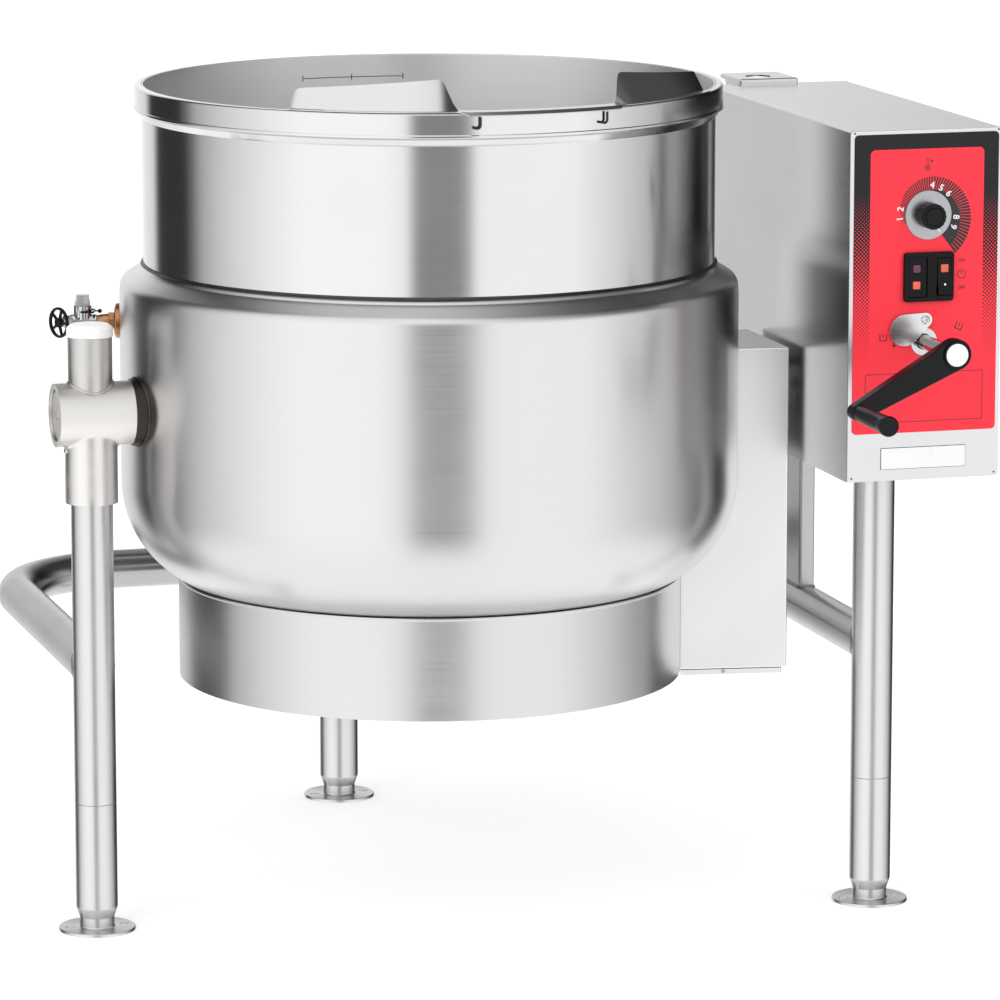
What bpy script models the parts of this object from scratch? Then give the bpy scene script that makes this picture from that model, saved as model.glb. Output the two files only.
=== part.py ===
"""Floor standing steam jacketed kettle that tilts on two trunnions.

Lengths are metres, +Z is up and -Y is the front, where the operator stands.
Outlines are worked out about the kettle's own vertical axis. Everything hangs
on one empty, so that the world origin is on the floor under the middle of the
outer box.
"""

import bmesh
import bpy
from math import acos, asin, atan2, cos, pi, radians, sin, sqrt
from mathutils import Matrix, Vector

MM = 0.001
GAP = 0.3 * MM
RUN = 0.5 * MM
KETTLE_AXIS = (-70.5 * MM, -43.1 * MM)

# Vessel, rim and steam jacket
VESSEL_R = 330 * MM
VESSEL_WALL = 2 * MM
RIM_Z = 969 * MM
VESSEL_DEPTH = 579 * MM
BAND_OUT = 8.4 * MM
BAND_HIGH = 28.4 * MM
BAND_CHAMFER = 9 * MM
JACKET_R = 360.2 * MM
JACKET_WALL = 2.5 * MM
SHOULDER_TOP_Z = 761 * MM
SHOULDER_Z = 736 * MM
KNUCKLE_Z = 506.5 * MM
KNUCKLE_R = 125 * MM
JACKET_BOTTOM_Z = 350 * MM
SKIRT_R = 294.5 * MM
SKIRT_WALL = 1.5 * MM
SKIRT_BOTTOM_Z = 276.2 * MM
ROUND = 48
PIPE_SIDES = 16
SMALL_SIDES = 16

# Pour lip, clipped over the front of the rim
LIP_TURN = radians(7)
LIP_HALF = radians(48.5)
SPOUT_HALF = radians(17.3)
LIP_SHEET = 1.2 * MM
SPOUT_OUT = 5.6 * MM
SPOUT_IN = 8 * MM
WING_RISE = 35 * MM
WING_END_RISE = 23 * MM
WING_LEAN = 30 * MM
WING_END_LEAN = 8 * MM
HOOK_ROD_R = 1.5 * MM
HOOK_ANGLE = radians(12.8)
HOOK_DROP = 23 * MM

# Tilt axis and trunnions
TILT_Y = -42 * MM
TILT_Z = 605 * MM
TRUNNION_BOSS_R = 38.5 * MM
SHAFT_R = 22.2 * MM
TUBE_SHAFT_R = 30 * MM
TUBE_SHAFT_WALL = 5 * MM
TUBE_SHAFT_END = 530 * MM

# Frame of round tube, three legs and levelling feet
TUBE_R = 24.15 * MM
TUBE_WALL = 3.2 * MM
LEFT_LEG = Vector((-412.3, -42, 0)) * MM
RIGHT_LEG = Vector((495.2, -158.4, 0)) * MM
REAR_LEG = Vector((27, 539.2, 0)) * MM
RAIL_Z = 310 * MM
RAIL_BEND_R = 150 * MM
SEAM_Z = 151 * MM
FOOT_PLATE_R = 44.45 * MM
FOOT_PLATE = 4 * MM
FOOT_NECK_R = 20 * MM
FOOT_NECK_TOP = 16 * MM
FOOT_TAPER_TOP = 28 * MM
FOOT_STEM = 60 * MM
FOOT_HOLE_R = 5.5 * MM
FOOT_HOLE_AT = 32 * MM
POST_WIDE = 19.3 * MM
POST_DEEP = 50 * MM
POST_WALL = 2 * MM
POST_FRONT_Y = 76.4 * MM

# Left bearing housing
BARREL_R = 36.5 * MM
BARREL_BORE_R = 30 * MM
BARREL_LEFT = -454 * MM
BARREL_RIGHT = -366 * MM
SLEEVE_R = 30.2 * MM
SLEEVE_BOTTOM_Z = 503 * MM
SLEEVE_BORE_TOP_Z = 560 * MM
POST_TOP_R = 25.4 * MM
POST_TOP_Z = 690 * MM
CAP_R = 26.7 * MM
CAP_HIGH = 18.5 * MM

# Wiring cover on the right of the kettle
COVER_RIGHT = 405 * MM
COVER_FRONT_Y = -114 * MM
COVER_SLANT = 0.154
COVER_BACK_Y = 40 * MM
COVER_TOP_Z = 658 * MM
COVER_SHEET = 1.5 * MM
COVER_INNER = 240 * MM
PAN_LIP = 6 * MM
PAN_INSET = 6 * MM

# Control console
CONSOLE_LEFT = 414 * MM
CONSOLE_WIDE = 183.8 * MM
CONSOLE_FRONT_Y = -290 * MM
CONSOLE_DEEP = 527.7 * MM
CONSOLE_TOP_Z = 929.4 * MM
CONSOLE_HIGH = 402.4 * MM
SHEET = 1.5 * MM
OVERLAY = 0.8 * MM
OVERLAY_SIZE = (173.8 * MM, 343 * MM)
OVERLAY_TOP = 4.2 * MM
KNOB_AT = (93.9 * MM, 97.4 * MM)
SWITCH_AT = (94.6 * MM, 168 * MM)
SWITCH_SIZE = (60.4 * MM, 56.8 * MM)
WINDOW_AT = -14.5 * MM
WINDOW_SIZE = (25 * MM, 47 * MM)
ROCKER_AT = 18.2 * MM
ROCKER_SIZE = (18 * MM, 44 * MM)
SWITCH_LEDGE = 2 * MM
ROCKER_TILT = radians(6)
LAMP = 9 * MM
CRANK_AT = (90.9 * MM, 242.9 * MM)
CRANK_HOLE_R = 16.5 * MM
PIVOT_AT = (91.4 * MM, 217.4 * MM)
FLAP_ARM = 27.1 * MM
FLAP_EYE_R = 8.2 * MM
FLAP_LOBE_R = 18.2 * MM
BRACKET = (460 * MM, 535 * MM)
BRACKET_DEEP = 79 * MM
BRACKET_HIGH = 5.6 * MM
BRACKET_HOLE = (493 * MM, 32.5 * MM)
BRACKET_HOLE_R = 16 * MM

# Tilting gear: a worm on the crank shaft and a wheel on the right trunnion
TEETH = 40
GEAR_MODULE = 3.25 * MM
WHEEL_HALF = 8 * MM
WORM_LONG = 50 * MM
CRANK_SHAFT_R = 8.5 * MM

# Crank
CRANK_RADIUS = 130 * MM
CRANK_ANGLE = radians(28)
ARM_FRONT_Y = -400 * MM
ARM_THICK = 18 * MM
ARM_HUB_R = 17.7 * MM
ARM_END_R = 9.8 * MM
GRIP_LONG = 97.5 * MM
GRIP_R = 11.5 * MM
PIN_R = 4 * MM

# Knob
KNOB_R = 15 * MM
KNOB_HIGH = 20 * MM
DIAL_R = 28 * MM

# Relief and vent valve beside the left trunnion
VALVE_TURN = radians(16)
VALVE_Z = 690 * MM
FLANGE_R = 20.5 * MM
VALVE_NECK_OUT = 43.5 * MM
VALVE_NECK_R = 10.5 * MM
VALVE_CAP_SIDE = 17.6 * MM
LEVER_UP = 11.5 * MM
VENT_TURN = radians(25)
VENT_OUT = 52 * MM
VENT_LONG = 20 * MM
WHEEL_R = 18 * MM


# Values that follow from the ones above
VESSEL_OUT = VESSEL_R + VESSEL_WALL
BALL_Z = RIM_Z - VESSEL_DEPTH + VESSEL_R
BAND_R = VESSEL_OUT + BAND_OUT
RIGHT_X = CONSOLE_LEFT + CONSOLE_WIDE
BACK_Y = CONSOLE_FRONT_Y + CONSOLE_DEEP
BASE_Z = CONSOLE_TOP_Z - CONSOLE_HIGH
PANEL_Y = CONSOLE_FRONT_Y - GAP - SHEET
FACE_Y = PANEL_Y - GAP - OVERLAY
CRANK_X = CONSOLE_LEFT + CRANK_AT[0]
CRANK_Z = CONSOLE_TOP_Z - CRANK_AT[1]
CENTRES = CRANK_Z - TILT_Z
WHEEL_PITCH_R = GEAR_MODULE * TEETH / 2
WORM_PITCH_R = CENTRES - WHEEL_PITCH_R
LEAD = pi * GEAR_MODULE
STEEL = "steel"


def crown():
    """Radius and centre height of the jacket's shallow bottom, tangent to its knuckle."""
    side = JACKET_R - KNUCKLE_R
    rise = KNUCKLE_Z - JACKET_BOTTOM_Z
    radius = (side**2 + rise**2 - KNUCKLE_R**2) / (2 * (rise - KNUCKLE_R))
    return radius, JACKET_BOTTOM_Z + radius


CROWN_R, CROWN_Z = crown()
CROWN_ANGLE = asin((JACKET_R - KNUCKLE_R) / (CROWN_R - KNUCKLE_R))


# Looks
COLOURS = {
    "steel": ((0.62, 0.61, 0.60), 0.28, 1.0),
    "dark_steel": ((0.20, 0.19, 0.19), 0.40, 1.0),
    "cast": ((0.56, 0.55, 0.54), 0.42, 1.0),
    "brass": ((0.62, 0.36, 0.20), 0.30, 1.0),
    "chrome": ((0.80, 0.80, 0.80), 0.12, 1.0),
    "white_plastic": ((0.86, 0.86, 0.85), 0.40, 0.0),
    "black_plastic": ((0.018, 0.018, 0.020), 0.38, 0.0),
    "red_film": ((0.72, 0.045, 0.055), 0.45, 0.0),
    "lamp_pink": ((0.42, 0.05, 0.16), 0.20, 0.0),
    "lamp_orange": ((0.90, 0.16, 0.03), 0.20, 0.0),
    "bronze": ((0.45, 0.30, 0.14), 0.35, 1.0),
}


def material(kind, name):
    colour, rough, metal = COLOURS[kind]
    made = bpy.data.materials.new(name)
    made.use_nodes = True
    shader = made.node_tree.nodes["Principled BSDF"]
    shader.inputs["Base Color"].default_value = (*colour, 1.0)
    shader.inputs["Roughness"].default_value = rough
    shader.inputs["Metallic"].default_value = metal
    made.diffuse_color = (*colour, 1.0)
    return made


# Groups: each moving body has an empty on its joint's axis
def empty(name, at, parent=None):
    made = bpy.data.objects.new(name, None)
    bpy.context.collection.objects.link(made)
    made.parent = parent
    made.location = at - (PIVOTS[parent.name] if parent else Vector())
    PIVOTS[name] = Vector(at) if parent else Vector()
    GROUPS[name] = made
    return made


PIVOTS = {}
GROUPS = {}


def console_point(place, y):
    """A point on the console's face, from its left edge and top edge."""
    return Vector((CONSOLE_LEFT + place[0], y, CONSOLE_TOP_Z - place[1]))


def along_crank(radius):
    """A point of the crank arm's line, at a radius from the crank's axis."""
    return Vector((CRANK_X - radius * cos(CRANK_ANGLE), 0, CRANK_Z - radius * sin(CRANK_ANGLE)))


def valve_point(out, up=0.0):
    """A point of the valve group, out from the kettle's axis."""
    return Vector((-cos(VALVE_TURN) * out, sin(VALVE_TURN) * out, VALVE_Z + up))


def make_groups():
    base = empty("standing_frame", Vector((*KETTLE_AXIS, 0)))
    tilt = empty("tilting_kettle", Vector((0, TILT_Y, TILT_Z)), base)
    empty("lifting_lip", Vector((0, 0, RIM_Z)), tilt)
    empty("turning_vent", valve_point(JACKET_R + VENT_OUT), tilt)
    empty("lifting_lever", valve_point(JACKET_R + VALVE_NECK_OUT, LEVER_UP), tilt)
    crank = empty("turning_crank", Vector((CRANK_X, ARM_FRONT_Y, CRANK_Z)), base)
    empty("spinning_grip", along_crank(CRANK_RADIUS) + Vector((0, ARM_FRONT_Y, 0)), crank)
    empty("turning_knob", console_point(KNOB_AT, FACE_Y), base)
    rocker_at = (SWITCH_AT[0] + ROCKER_AT, SWITCH_AT[1])
    empty("rocking_switch", console_point(rocker_at, FACE_Y - 1 * MM), base)
    empty("swinging_flap", console_point(PIVOT_AT, FACE_Y), base)
    for side, leg in (("left", LEFT_LEG), ("right", RIGHT_LEG), ("rear", REAR_LEG)):
        empty(f"levelling_{side}", leg.copy(), base)


# Solids
def add(name, mesh, kind, group, smooth=30):
    """Links one solid whose mesh is about the kettle's axis, on its group's empty."""
    mesh.transform(Matrix.Translation(-PIVOTS[group]))
    mesh.shade_smooth()
    mesh.set_sharp_from_angle(angle=radians(smooth))
    mesh.materials.append(material(kind, name))
    made = bpy.data.objects.new(name, mesh)
    bpy.context.collection.objects.link(made)
    made.parent = GROUPS[group]
    return made


def skin(rings, closed=False):
    """A mesh over rings of points. A ring of one point is a pole, and closed joins the last
    ring to the first."""
    bm = bmesh.new()
    loops = [[bm.verts.new(point) for point in ring] for ring in rings]
    pairs = list(zip(loops, loops[1:] + loops[:1])) if closed else list(zip(loops, loops[1:]))
    for one, two in pairs:
        count = max(len(one), len(two))
        for i in range(count):
            corners = [one[i % len(one)], one[(i + 1) % len(one)]]
            corners += [two[(i + 1) % len(two)], two[i % len(two)]]
            bm.faces.new(list(dict.fromkeys(corners)))
    if not closed:
        for ring in (loops[0], loops[-1]):
            if len(ring) > 2:
                bm.faces.new(ring)
    bmesh.ops.recalc_face_normals(bm, faces=bm.faces)
    mesh = bpy.data.meshes.new("solid")
    bm.to_mesh(mesh)
    bm.free()
    return mesh


def ring(radius, height, sides, frame):
    if radius == 0:
        return [frame @ Vector((0, 0, height))]
    turns = [2 * pi * i / sides for i in range(sides)]
    return [frame @ Vector((radius * cos(t), radius * sin(t), height)) for t in turns]


def upright(x=0.0, y=0.0):
    return Matrix.Translation((x, y, 0))


def along_x(y, z):
    """A frame whose axis runs along +X at the given place."""
    return Matrix.Translation((0, y, z)) @ Matrix.Rotation(pi / 2, 4, "Y")


def along_y(x, z):
    """A frame whose axis runs along +Y at the given place."""
    return Matrix.Translation((x, 0, z)) @ Matrix.Rotation(-pi / 2, 4, "X")


def turned(profile, frame, sides=SMALL_SIDES, closed=False):
    """Turns a profile of (radius, height) points about a frame's axis."""
    return skin([ring(radius, height, sides, frame) for radius, height in profile], closed)


def rod(radius, low, high, frame, sides=SMALL_SIDES):
    return turned([(radius, low), (radius, high)], frame, sides)


def pipe(radius, bore, low, high, frame, sides=PIPE_SIDES):
    profile = [(radius, low), (radius, high), (bore, high), (bore, low)]
    return turned(profile, frame, sides, closed=True)


def arc(centre, radius, start, end, steps):
    """Points of an arc in (radius, height) form, angles from the outward direction."""
    turns = [start + (end - start) * i / steps for i in range(steps + 1)]
    return [(centre[0] + radius * cos(t), centre[1] + radius * sin(t)) for t in turns]


def prism(outline, low, high, frame=None):
    """Extrudes an outline of (x, y) points from low to high in a frame."""
    frame = frame or Matrix()
    return skin([[frame @ Vector((x, y, h)) for x, y in outline] for h in (low, high)])


def box(low, high):
    outline = [(low[0], low[1]), (high[0], low[1]), (high[0], high[1]), (low[0], high[1])]
    return prism(outline, low[2], high[2])


def rounded(wide, high, radius, steps=3):
    """A rectangle about the origin with round corners."""
    points = []
    for quarter, (sx, sy) in enumerate(((1, 1), (-1, 1), (-1, -1), (1, -1))):
        centre = (sx * (wide / 2 - radius), sy * (high / 2 - radius))
        points += arc(centre, radius, quarter * pi / 2, (quarter + 1) * pi / 2, steps)
    return points


def face_frame(at):
    """A frame on a face that looks to -Y: x to the right, y up, z out of the face."""
    return Matrix.Translation(at) @ Matrix.Rotation(pi / 2, 4, "X")


def two_circles(near_r, far_r, reach, angle, steps=8):
    """The outline round two circles whose centres lie reach apart, at an angle."""
    lean = acos((near_r - far_r) / reach)
    near = arc((0, 0), near_r, angle + lean, angle + 2 * pi - lean, steps)
    centre = (reach * cos(angle), reach * sin(angle))
    far = arc(centre, far_r, angle - lean, angle + lean, steps)
    return near + far


def helper(mesh, group):
    """A cutter, or a shape that another one is joined with. It isn't part of the model."""
    made = bpy.data.objects.new("helper", mesh)
    mesh.transform(Matrix.Translation(-PIVOTS[group]))
    bpy.context.collection.objects.link(made)
    made.parent = GROUPS[group]
    made.hide_render = True
    made.display_type = "WIRE"
    return made


def combine(target, mesh, how):
    group = target.parent.name
    step = target.modifiers.new(how.lower(), "BOOLEAN")
    step.operation = how
    step.solver = "EXACT"
    step.object = helper(mesh, group)
    return target


def cut(target, *meshes):
    for mesh in meshes:
        combine(target, mesh, "DIFFERENCE")
    return target


def join(target, *meshes):
    for mesh in meshes:
        combine(target, mesh, "UNION")
    return target


# Kettle
def jacket_side(grow):
    """The jacket's outside, from the shoulder's top to the middle of its bottom."""
    out = JACKET_R + grow
    top = [(VESSEL_OUT + GAP, SHOULDER_TOP_Z + grow)]
    top += [(out - 4 * MM, SHOULDER_Z + 4 * MM + grow / 2), (out, SHOULDER_Z - 6 * MM)]
    centre = (JACKET_R - KNUCKLE_R, KNUCKLE_Z)
    knuckle = arc(centre, KNUCKLE_R + grow, 0, CROWN_ANGLE - pi / 2, 5)
    return top + knuckle + [(0, CROWN_Z - CROWN_R - grow)]


def kettle_solid(grow):
    """The jacket and the skirt as one filled solid, to cut what seats against them."""
    profile = [(0, SHOULDER_TOP_Z + grow)] + jacket_side(grow)
    shown = [point for point in profile if point[1] > skirt_top_z()]
    shown += [(SKIRT_R + grow, skirt_top_z()), (SKIRT_R + grow, SKIRT_BOTTOM_Z - 60 * MM)]
    shown += [(0, SKIRT_BOTTOM_Z - 60 * MM)]
    return turned(shown, upright(), ROUND)


def skirt_top_z():
    """Where the skirt's inner edge meets the jacket's knuckle, less the gap."""
    across = SKIRT_R - SKIRT_WALL - (JACKET_R - KNUCKLE_R)
    return KNUCKLE_Z - sqrt((KNUCKLE_R + 3 * GAP) ** 2 - across**2)


def make_vessel():
    steps = 7
    outer = arc((0, BALL_Z), VESSEL_OUT, 0, -pi / 2, steps)[:-1]
    outer += [(0, BALL_Z - VESSEL_OUT)]
    inner = arc((0, BALL_Z), VESSEL_R, 0, -pi / 2, steps)[:-1]
    inner += [(0, BALL_Z - VESSEL_R)]
    profile = outer[::-1] + [(VESSEL_OUT, RIM_Z), (VESSEL_R, RIM_Z)] + inner
    add("inner_vessel", turned(profile, upright(), ROUND), STEEL, "tilting_kettle")


def make_band():
    near = VESSEL_OUT + GAP
    foot = RIM_Z - BAND_HIGH
    profile = [(near, RIM_Z), (BAND_R - 2 * MM, RIM_Z), (BAND_R, RIM_Z - 2 * MM), (BAND_R, foot)]
    profile += [(near + 0.8 * MM, foot - BAND_CHAMFER), (near, foot - BAND_CHAMFER)]
    add("rim_band", turned(profile, upright(), ROUND, closed=True), STEEL, "tilting_kettle")


def make_jacket():
    profile = jacket_side(0)[::-1] + jacket_side(-JACKET_WALL)
    add("steam_jacket", turned(profile, upright(), ROUND), STEEL, "tilting_kettle")


def make_skirt():
    mesh = pipe(SKIRT_R, SKIRT_R - SKIRT_WALL, SKIRT_BOTTOM_Z, skirt_top_z(), upright(), ROUND)
    add("bottom_skirt", mesh, STEEL, "tilting_kettle")
    low = SKIRT_BOTTOM_Z + 3 * MM
    edge = SKIRT_R - SKIRT_WALL - GAP
    profile = [(0, low), (edge - 1 * MM, low), (edge, low + 1 * MM), (edge, low + 9 * MM)]
    profile += [(edge - 2 * MM, low + 9 * MM), (edge - 2 * MM, low + 2 * MM), (0, low + 2 * MM)]
    add("skirt_cover", turned(profile, upright(), ROUND), STEEL, "tilting_kettle")


# Pour lip
def rim_point(radius, angle, z):
    """A point at an angle from the lip's middle line, positive to the right."""
    turn = LIP_TURN + angle
    return Vector((radius * sin(turn), -radius * cos(turn), z))


def make_lip():
    low = RIM_Z + GAP
    top = low + LIP_SHEET
    edge = BAND_R + SPOUT_OUT
    spout = [(VESSEL_R - SPOUT_IN, low), (BAND_R + 1 * MM, low), (edge - 0.8 * MM, low - 4 * MM)]
    spout += [(edge, low - 3 * MM), (BAND_R + 1.4 * MM, top), (VESSEL_R - SPOUT_IN, top)]
    turns = [SPOUT_HALF * i / 4 for i in range(-4, 5)]
    mesh = skin([[rim_point(radius, t, z) for radius, z in spout] for t in turns])
    lip = add("pour_lip", mesh, STEEL, "lifting_lip")
    for side in (-1, 1):
        join(lip, wing(side, low, top))
    for name, side in (("left", -1), ("right", 1)):
        make_hook(f"lip_hook_{name}", side * HOOK_ANGLE, low)


def wing(side, low, top):
    """A flange on the rim with a plate that rises from it and leans in."""
    sections = []
    steps = 6
    for i in range(steps + 1):
        share = i / steps
        foot = side * (SPOUT_HALF - radians(0.6) + share * (LIP_HALF - SPOUT_HALF + radians(0.6)))
        head = side * (SPOUT_HALF + radians(4.6) + share * (LIP_HALF - SPOUT_HALF - radians(6.2)))
        rise = WING_RISE + (WING_END_RISE - WING_RISE) * share
        lean = WING_LEAN + (WING_END_LEAN - WING_LEAN) * share
        inner = VESSEL_R - lean
        near = VESSEL_R + 1 * MM
        section = [rim_point(BAND_R + 0.6 * MM, foot, low + 0.1 * MM)]
        section += [rim_point(BAND_R + 0.6 * MM, foot, top + 0.1 * MM)]
        section += [rim_point(near + 1.6 * MM, foot, top + 0.1 * MM)]
        section += [rim_point(inner + LIP_SHEET, head, low + rise)]
        section += [rim_point(inner, head, low + rise), rim_point(near, foot, low + 0.1 * MM)]
        sections.append(section)
    return skin(sections)


def make_hook(name, angle, low):
    radius = BAND_R + SPOUT_OUT - 2.2 * MM
    bend = 3.6 * MM
    top = low - 4.4 * MM
    foot = low - HOOK_DROP
    path = [(0.0, top), (0.0, foot + bend)]
    path += [(-bend + bend * cos(t), foot + bend + bend * sin(t)) for t in (-pi / 4, -pi / 2)]
    path += [(-2.4 * bend, foot + 0.3 * bend)]
    rings = []
    for across, z in path:
        centre = rim_point(radius, angle, z)
        tangent = Vector((cos(LIP_TURN + angle), sin(LIP_TURN + angle), 0))
        rings.append(centre + tangent * across)
    add(name, rod_along(rings, HOOK_ROD_R, 6), STEEL, "lifting_lip")


def rod_along(path, radius, sides):
    """A round rod along a list of points, its rings square to the path."""
    rings = []
    across = None
    for i, point in enumerate(path):
        ahead = path[min(i + 1, len(path) - 1)] - path[max(i - 1, 0)]
        ahead.normalize()
        if across is None:
            across = ahead.orthogonal().normalized()
        across = (across - ahead * across.dot(ahead)).normalized()
        other = ahead.cross(across)
        turns = [2 * pi * k / sides for k in range(sides)]
        rings.append([point + (across * cos(t) + other * sin(t)) * radius for t in turns])
    return skin(rings)


# Trunnions, wiring cover and valve
def make_trunnions():
    axle = along_x(TILT_Y, TILT_Z)
    near = -JACKET_R + 30 * MM
    face = BARREL_RIGHT + RUN
    profile = [(0, near), (TRUNNION_BOSS_R, near), (TRUNNION_BOSS_R, face), (SHAFT_R, face)]
    profile += [(SHAFT_R, BARREL_LEFT + 12 * MM), (0, BARREL_LEFT + 12 * MM)]
    left = add("trunnion_left", turned(profile, axle, 24), "dark_steel", "tilting_kettle")
    cut(left, kettle_solid(GAP))
    near = JACKET_R - 30 * MM
    face = JACKET_R + 14 * MM
    bore = TUBE_SHAFT_R - TUBE_SHAFT_WALL
    profile = [(bore, near), (TRUNNION_BOSS_R, near), (TRUNNION_BOSS_R, face)]
    profile += [(TUBE_SHAFT_R, face), (TUBE_SHAFT_R, TUBE_SHAFT_END), (bore, TUBE_SHAFT_END)]
    mesh = turned(profile, axle, 24, closed=True)
    right = add("trunnion_right", mesh, "cast", "tilting_kettle")
    cut(right, kettle_solid(GAP))


def cover_front_y(x):
    return COVER_FRONT_Y + (COVER_RIGHT - x) * COVER_SLANT


def cover_outline(inset, right_inset=None):
    right = COVER_RIGHT - (inset if right_inset is None else right_inset)
    front = [(x, cover_front_y(x) + inset) for x in (COVER_INNER, right)]
    return front + [(right, COVER_BACK_Y - inset), (COVER_INNER, COVER_BACK_Y - inset)]


def make_wiring_cover():
    low = SKIRT_BOTTOM_Z + 0.8 * MM
    mesh = prism(cover_outline(0), low, COVER_TOP_Z)
    cover = add("wiring_cover", mesh, STEEL, "tilting_kettle")
    cut(cover, prism(cover_outline(COVER_SHEET), low - 20 * MM, COVER_TOP_Z - COVER_SHEET))
    cut(cover, kettle_solid(GAP))
    hole = rod(TUBE_SHAFT_R + 1 * MM, COVER_RIGHT - 10 * MM, COVER_RIGHT + 10 * MM,
               along_x(TILT_Y, TILT_Z), 24)
    cut(cover, hole)
    top = low - GAP
    pan = add("cover_pan", prism(cover_outline(0, PAN_INSET), top - PAN_LIP, top), STEEL,
              "tilting_kettle")
    cut(pan, prism(cover_outline(COVER_SHEET, PAN_INSET + COVER_SHEET), top - PAN_LIP - 9 * MM,
                   top - COVER_SHEET))
    cut(pan, kettle_solid(GAP))


def level_frame(at, turn):
    """A frame whose axis points to -X, turned towards the front."""
    flat = Matrix.Rotation(turn, 4, "Z") @ Matrix.Rotation(-pi / 2, 4, "Y")
    return Matrix.Translation(at) @ flat


def make_valve():
    """A brass fitting on the jacket, with a relief valve and its branch screwed into it."""
    frame = level_frame(Vector((0, 0, VALVE_Z)), -VALVE_TURN)
    face = JACKET_R + 6.5 * MM
    start = JACKET_R + 27 * MM
    profile = [(0, face - 26 * MM), (FLANGE_R, face - 26 * MM), (FLANGE_R, face)]
    profile += [(10.5 * MM, face), (10.5 * MM, face + 6 * MM), (7.5 * MM, face + 12 * MM)]
    profile += [(6.5 * MM, start - GAP), (0, start - GAP)]
    fitting = add("brass_fitting", turned(profile, frame, 18), "brass", "tilting_kettle")
    cut(fitting, kettle_solid(GAP))
    end = start + 31 * MM
    body = add("relief_valve", rod(7.5 * MM, start, end, frame), "chrome", "tilting_kettle")
    centre = valve_point(JACKET_R + VALVE_NECK_OUT)
    turn = Matrix.Translation(centre) @ Matrix.Rotation(-VALVE_TURN, 4, "Z")
    neck_top = 18 * MM
    join(body, rod(VALVE_NECK_R, 2 * MM, neck_top, turn, 12))
    branch = level_frame(valve_point(JACKET_R + VENT_OUT), VENT_TURN)
    profile = [(0, 0), (5 * MM, 0), (5 * MM, 8 * MM), (7.5 * MM, 9 * MM), (7.5 * MM, 15 * MM)]
    profile += [(5 * MM, 16 * MM), (5 * MM, VENT_LONG), (0, VENT_LONG)]
    join(body, turned(profile, branch, 12))
    side = VALVE_CAP_SIDE
    cap = prism(rounded(side, side, 1.5 * MM, 1), neck_top + GAP, neck_top + 13 * MM, turn)
    add("valve_cap", cap, "chrome", "tilting_kettle")
    make_lever(turn)
    make_vent(branch)


def make_lever(turn):
    """A lift lever: a yoke round the valve's neck and a rod with a ball on it."""
    low = LEVER_UP - 1.1 * MM
    high = LEVER_UP + 1.1 * MM
    inner = VALVE_NECK_R + GAP
    outer = inner + 1.8 * MM
    bar = VALVE_NECK_R + 1.5 * MM
    yoke = [(-2 * MM, -outer), (bar + 2.2 * MM, -outer), (bar + 2.2 * MM, outer)]
    yoke += [(-2 * MM, outer), (-2 * MM, inner), (bar, inner), (bar, -inner), (-2 * MM, -inner)]
    lever = add("valve_lever", prism(yoke, low, high, turn), "black_plastic", "lifting_lever")
    rise = Matrix.Translation((0, 0, LEVER_UP)) @ Matrix.Rotation(pi / 2, 4, "Y")
    tip = bar + 8 * MM
    profile = [(0, bar + 1 * MM), (0.9 * MM, bar + 1 * MM), (0.9 * MM, tip - 2.4 * MM)]
    profile += [(2.2 * MM, tip - 1.4 * MM), (2.6 * MM, tip), (1.6 * MM, tip + 2 * MM)]
    profile += [(0, tip + 2.6 * MM)]
    join(lever, turned(profile, turn @ rise, 8))


def make_vent(frame):
    """A small spoked hand wheel on the end of the valve's branch."""
    hub = VENT_LONG + GAP
    low = hub + 1.2 * MM
    profile = [(WHEEL_R, low + 1 * MM), (WHEEL_R, low + 4 * MM), (WHEEL_R - 3 * MM, low + 5 * MM)]
    profile += [(WHEEL_R - 3 * MM, low)]
    wheel = turned(profile, frame, 20, closed=True)
    vent = add("vent_wheel", wheel, "black_plastic", "turning_vent")
    join(vent, rod(5.5 * MM, hub, hub + 7 * MM, frame, 12))
    spokes = 5
    for i in range(spokes):
        turn = frame @ Matrix.Rotation(2 * pi * i / spokes, 4, "Z")
        arm = [(4 * MM, -1.4 * MM), (WHEEL_R - 1.5 * MM, -1.4 * MM)]
        arm += [(WHEEL_R - 1.5 * MM, 1.4 * MM), (4 * MM, 1.4 * MM)]
        join(vent, prism(arm, low + 0.8 * MM, low + 3.6 * MM, turn))


# Standing frame
def make_rail():
    """One bent tube from the left leg round the back to the right leg."""
    def side(leg, turn):
        start = Vector((leg.x, leg.y + 10 * MM, RAIL_Z))
        centre = Vector((leg.x - turn * RAIL_BEND_R, REAR_LEG.y - RAIL_BEND_R, RAIL_Z))
        angles = [radians(90 * i / 6) for i in range(7)]
        bend = [centre + Vector((turn * cos(a), sin(a), 0)) * RAIL_BEND_R for a in angles]
        return [start] + bend

    path = side(LEFT_LEG, -1) + side(RIGHT_LEG, 1)[::-1]
    outer = tube_rings(path, TUBE_R)
    inner = tube_rings(path, TUBE_R - TUBE_WALL)
    mesh = skin(outer + inner[::-1], closed=True)
    rail = add("frame_rail", mesh, STEEL, "standing_frame", 40)
    for leg in (LEFT_LEG, RIGHT_LEG):
        frame = upright(leg.x, leg.y)
        cut(rail, rod(TUBE_R + GAP, RAIL_Z - 50 * MM, RAIL_Z + 50 * MM, frame, PIPE_SIDES))


def tube_rings(path, radius):
    """Rings square to a level path."""
    rings = []
    for i, point in enumerate(path):
        ahead = path[min(i + 1, len(path) - 1)] - path[max(i - 1, 0)]
        across = Vector((ahead.y, -ahead.x, 0)).normalized()
        turns = [2 * pi * k / PIPE_SIDES for k in range(PIPE_SIDES)]
        up = Vector((0, 0, 1))
        rings.append([point + (across * cos(t) + up * sin(t)) * radius for t in turns])
    return rings


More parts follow.
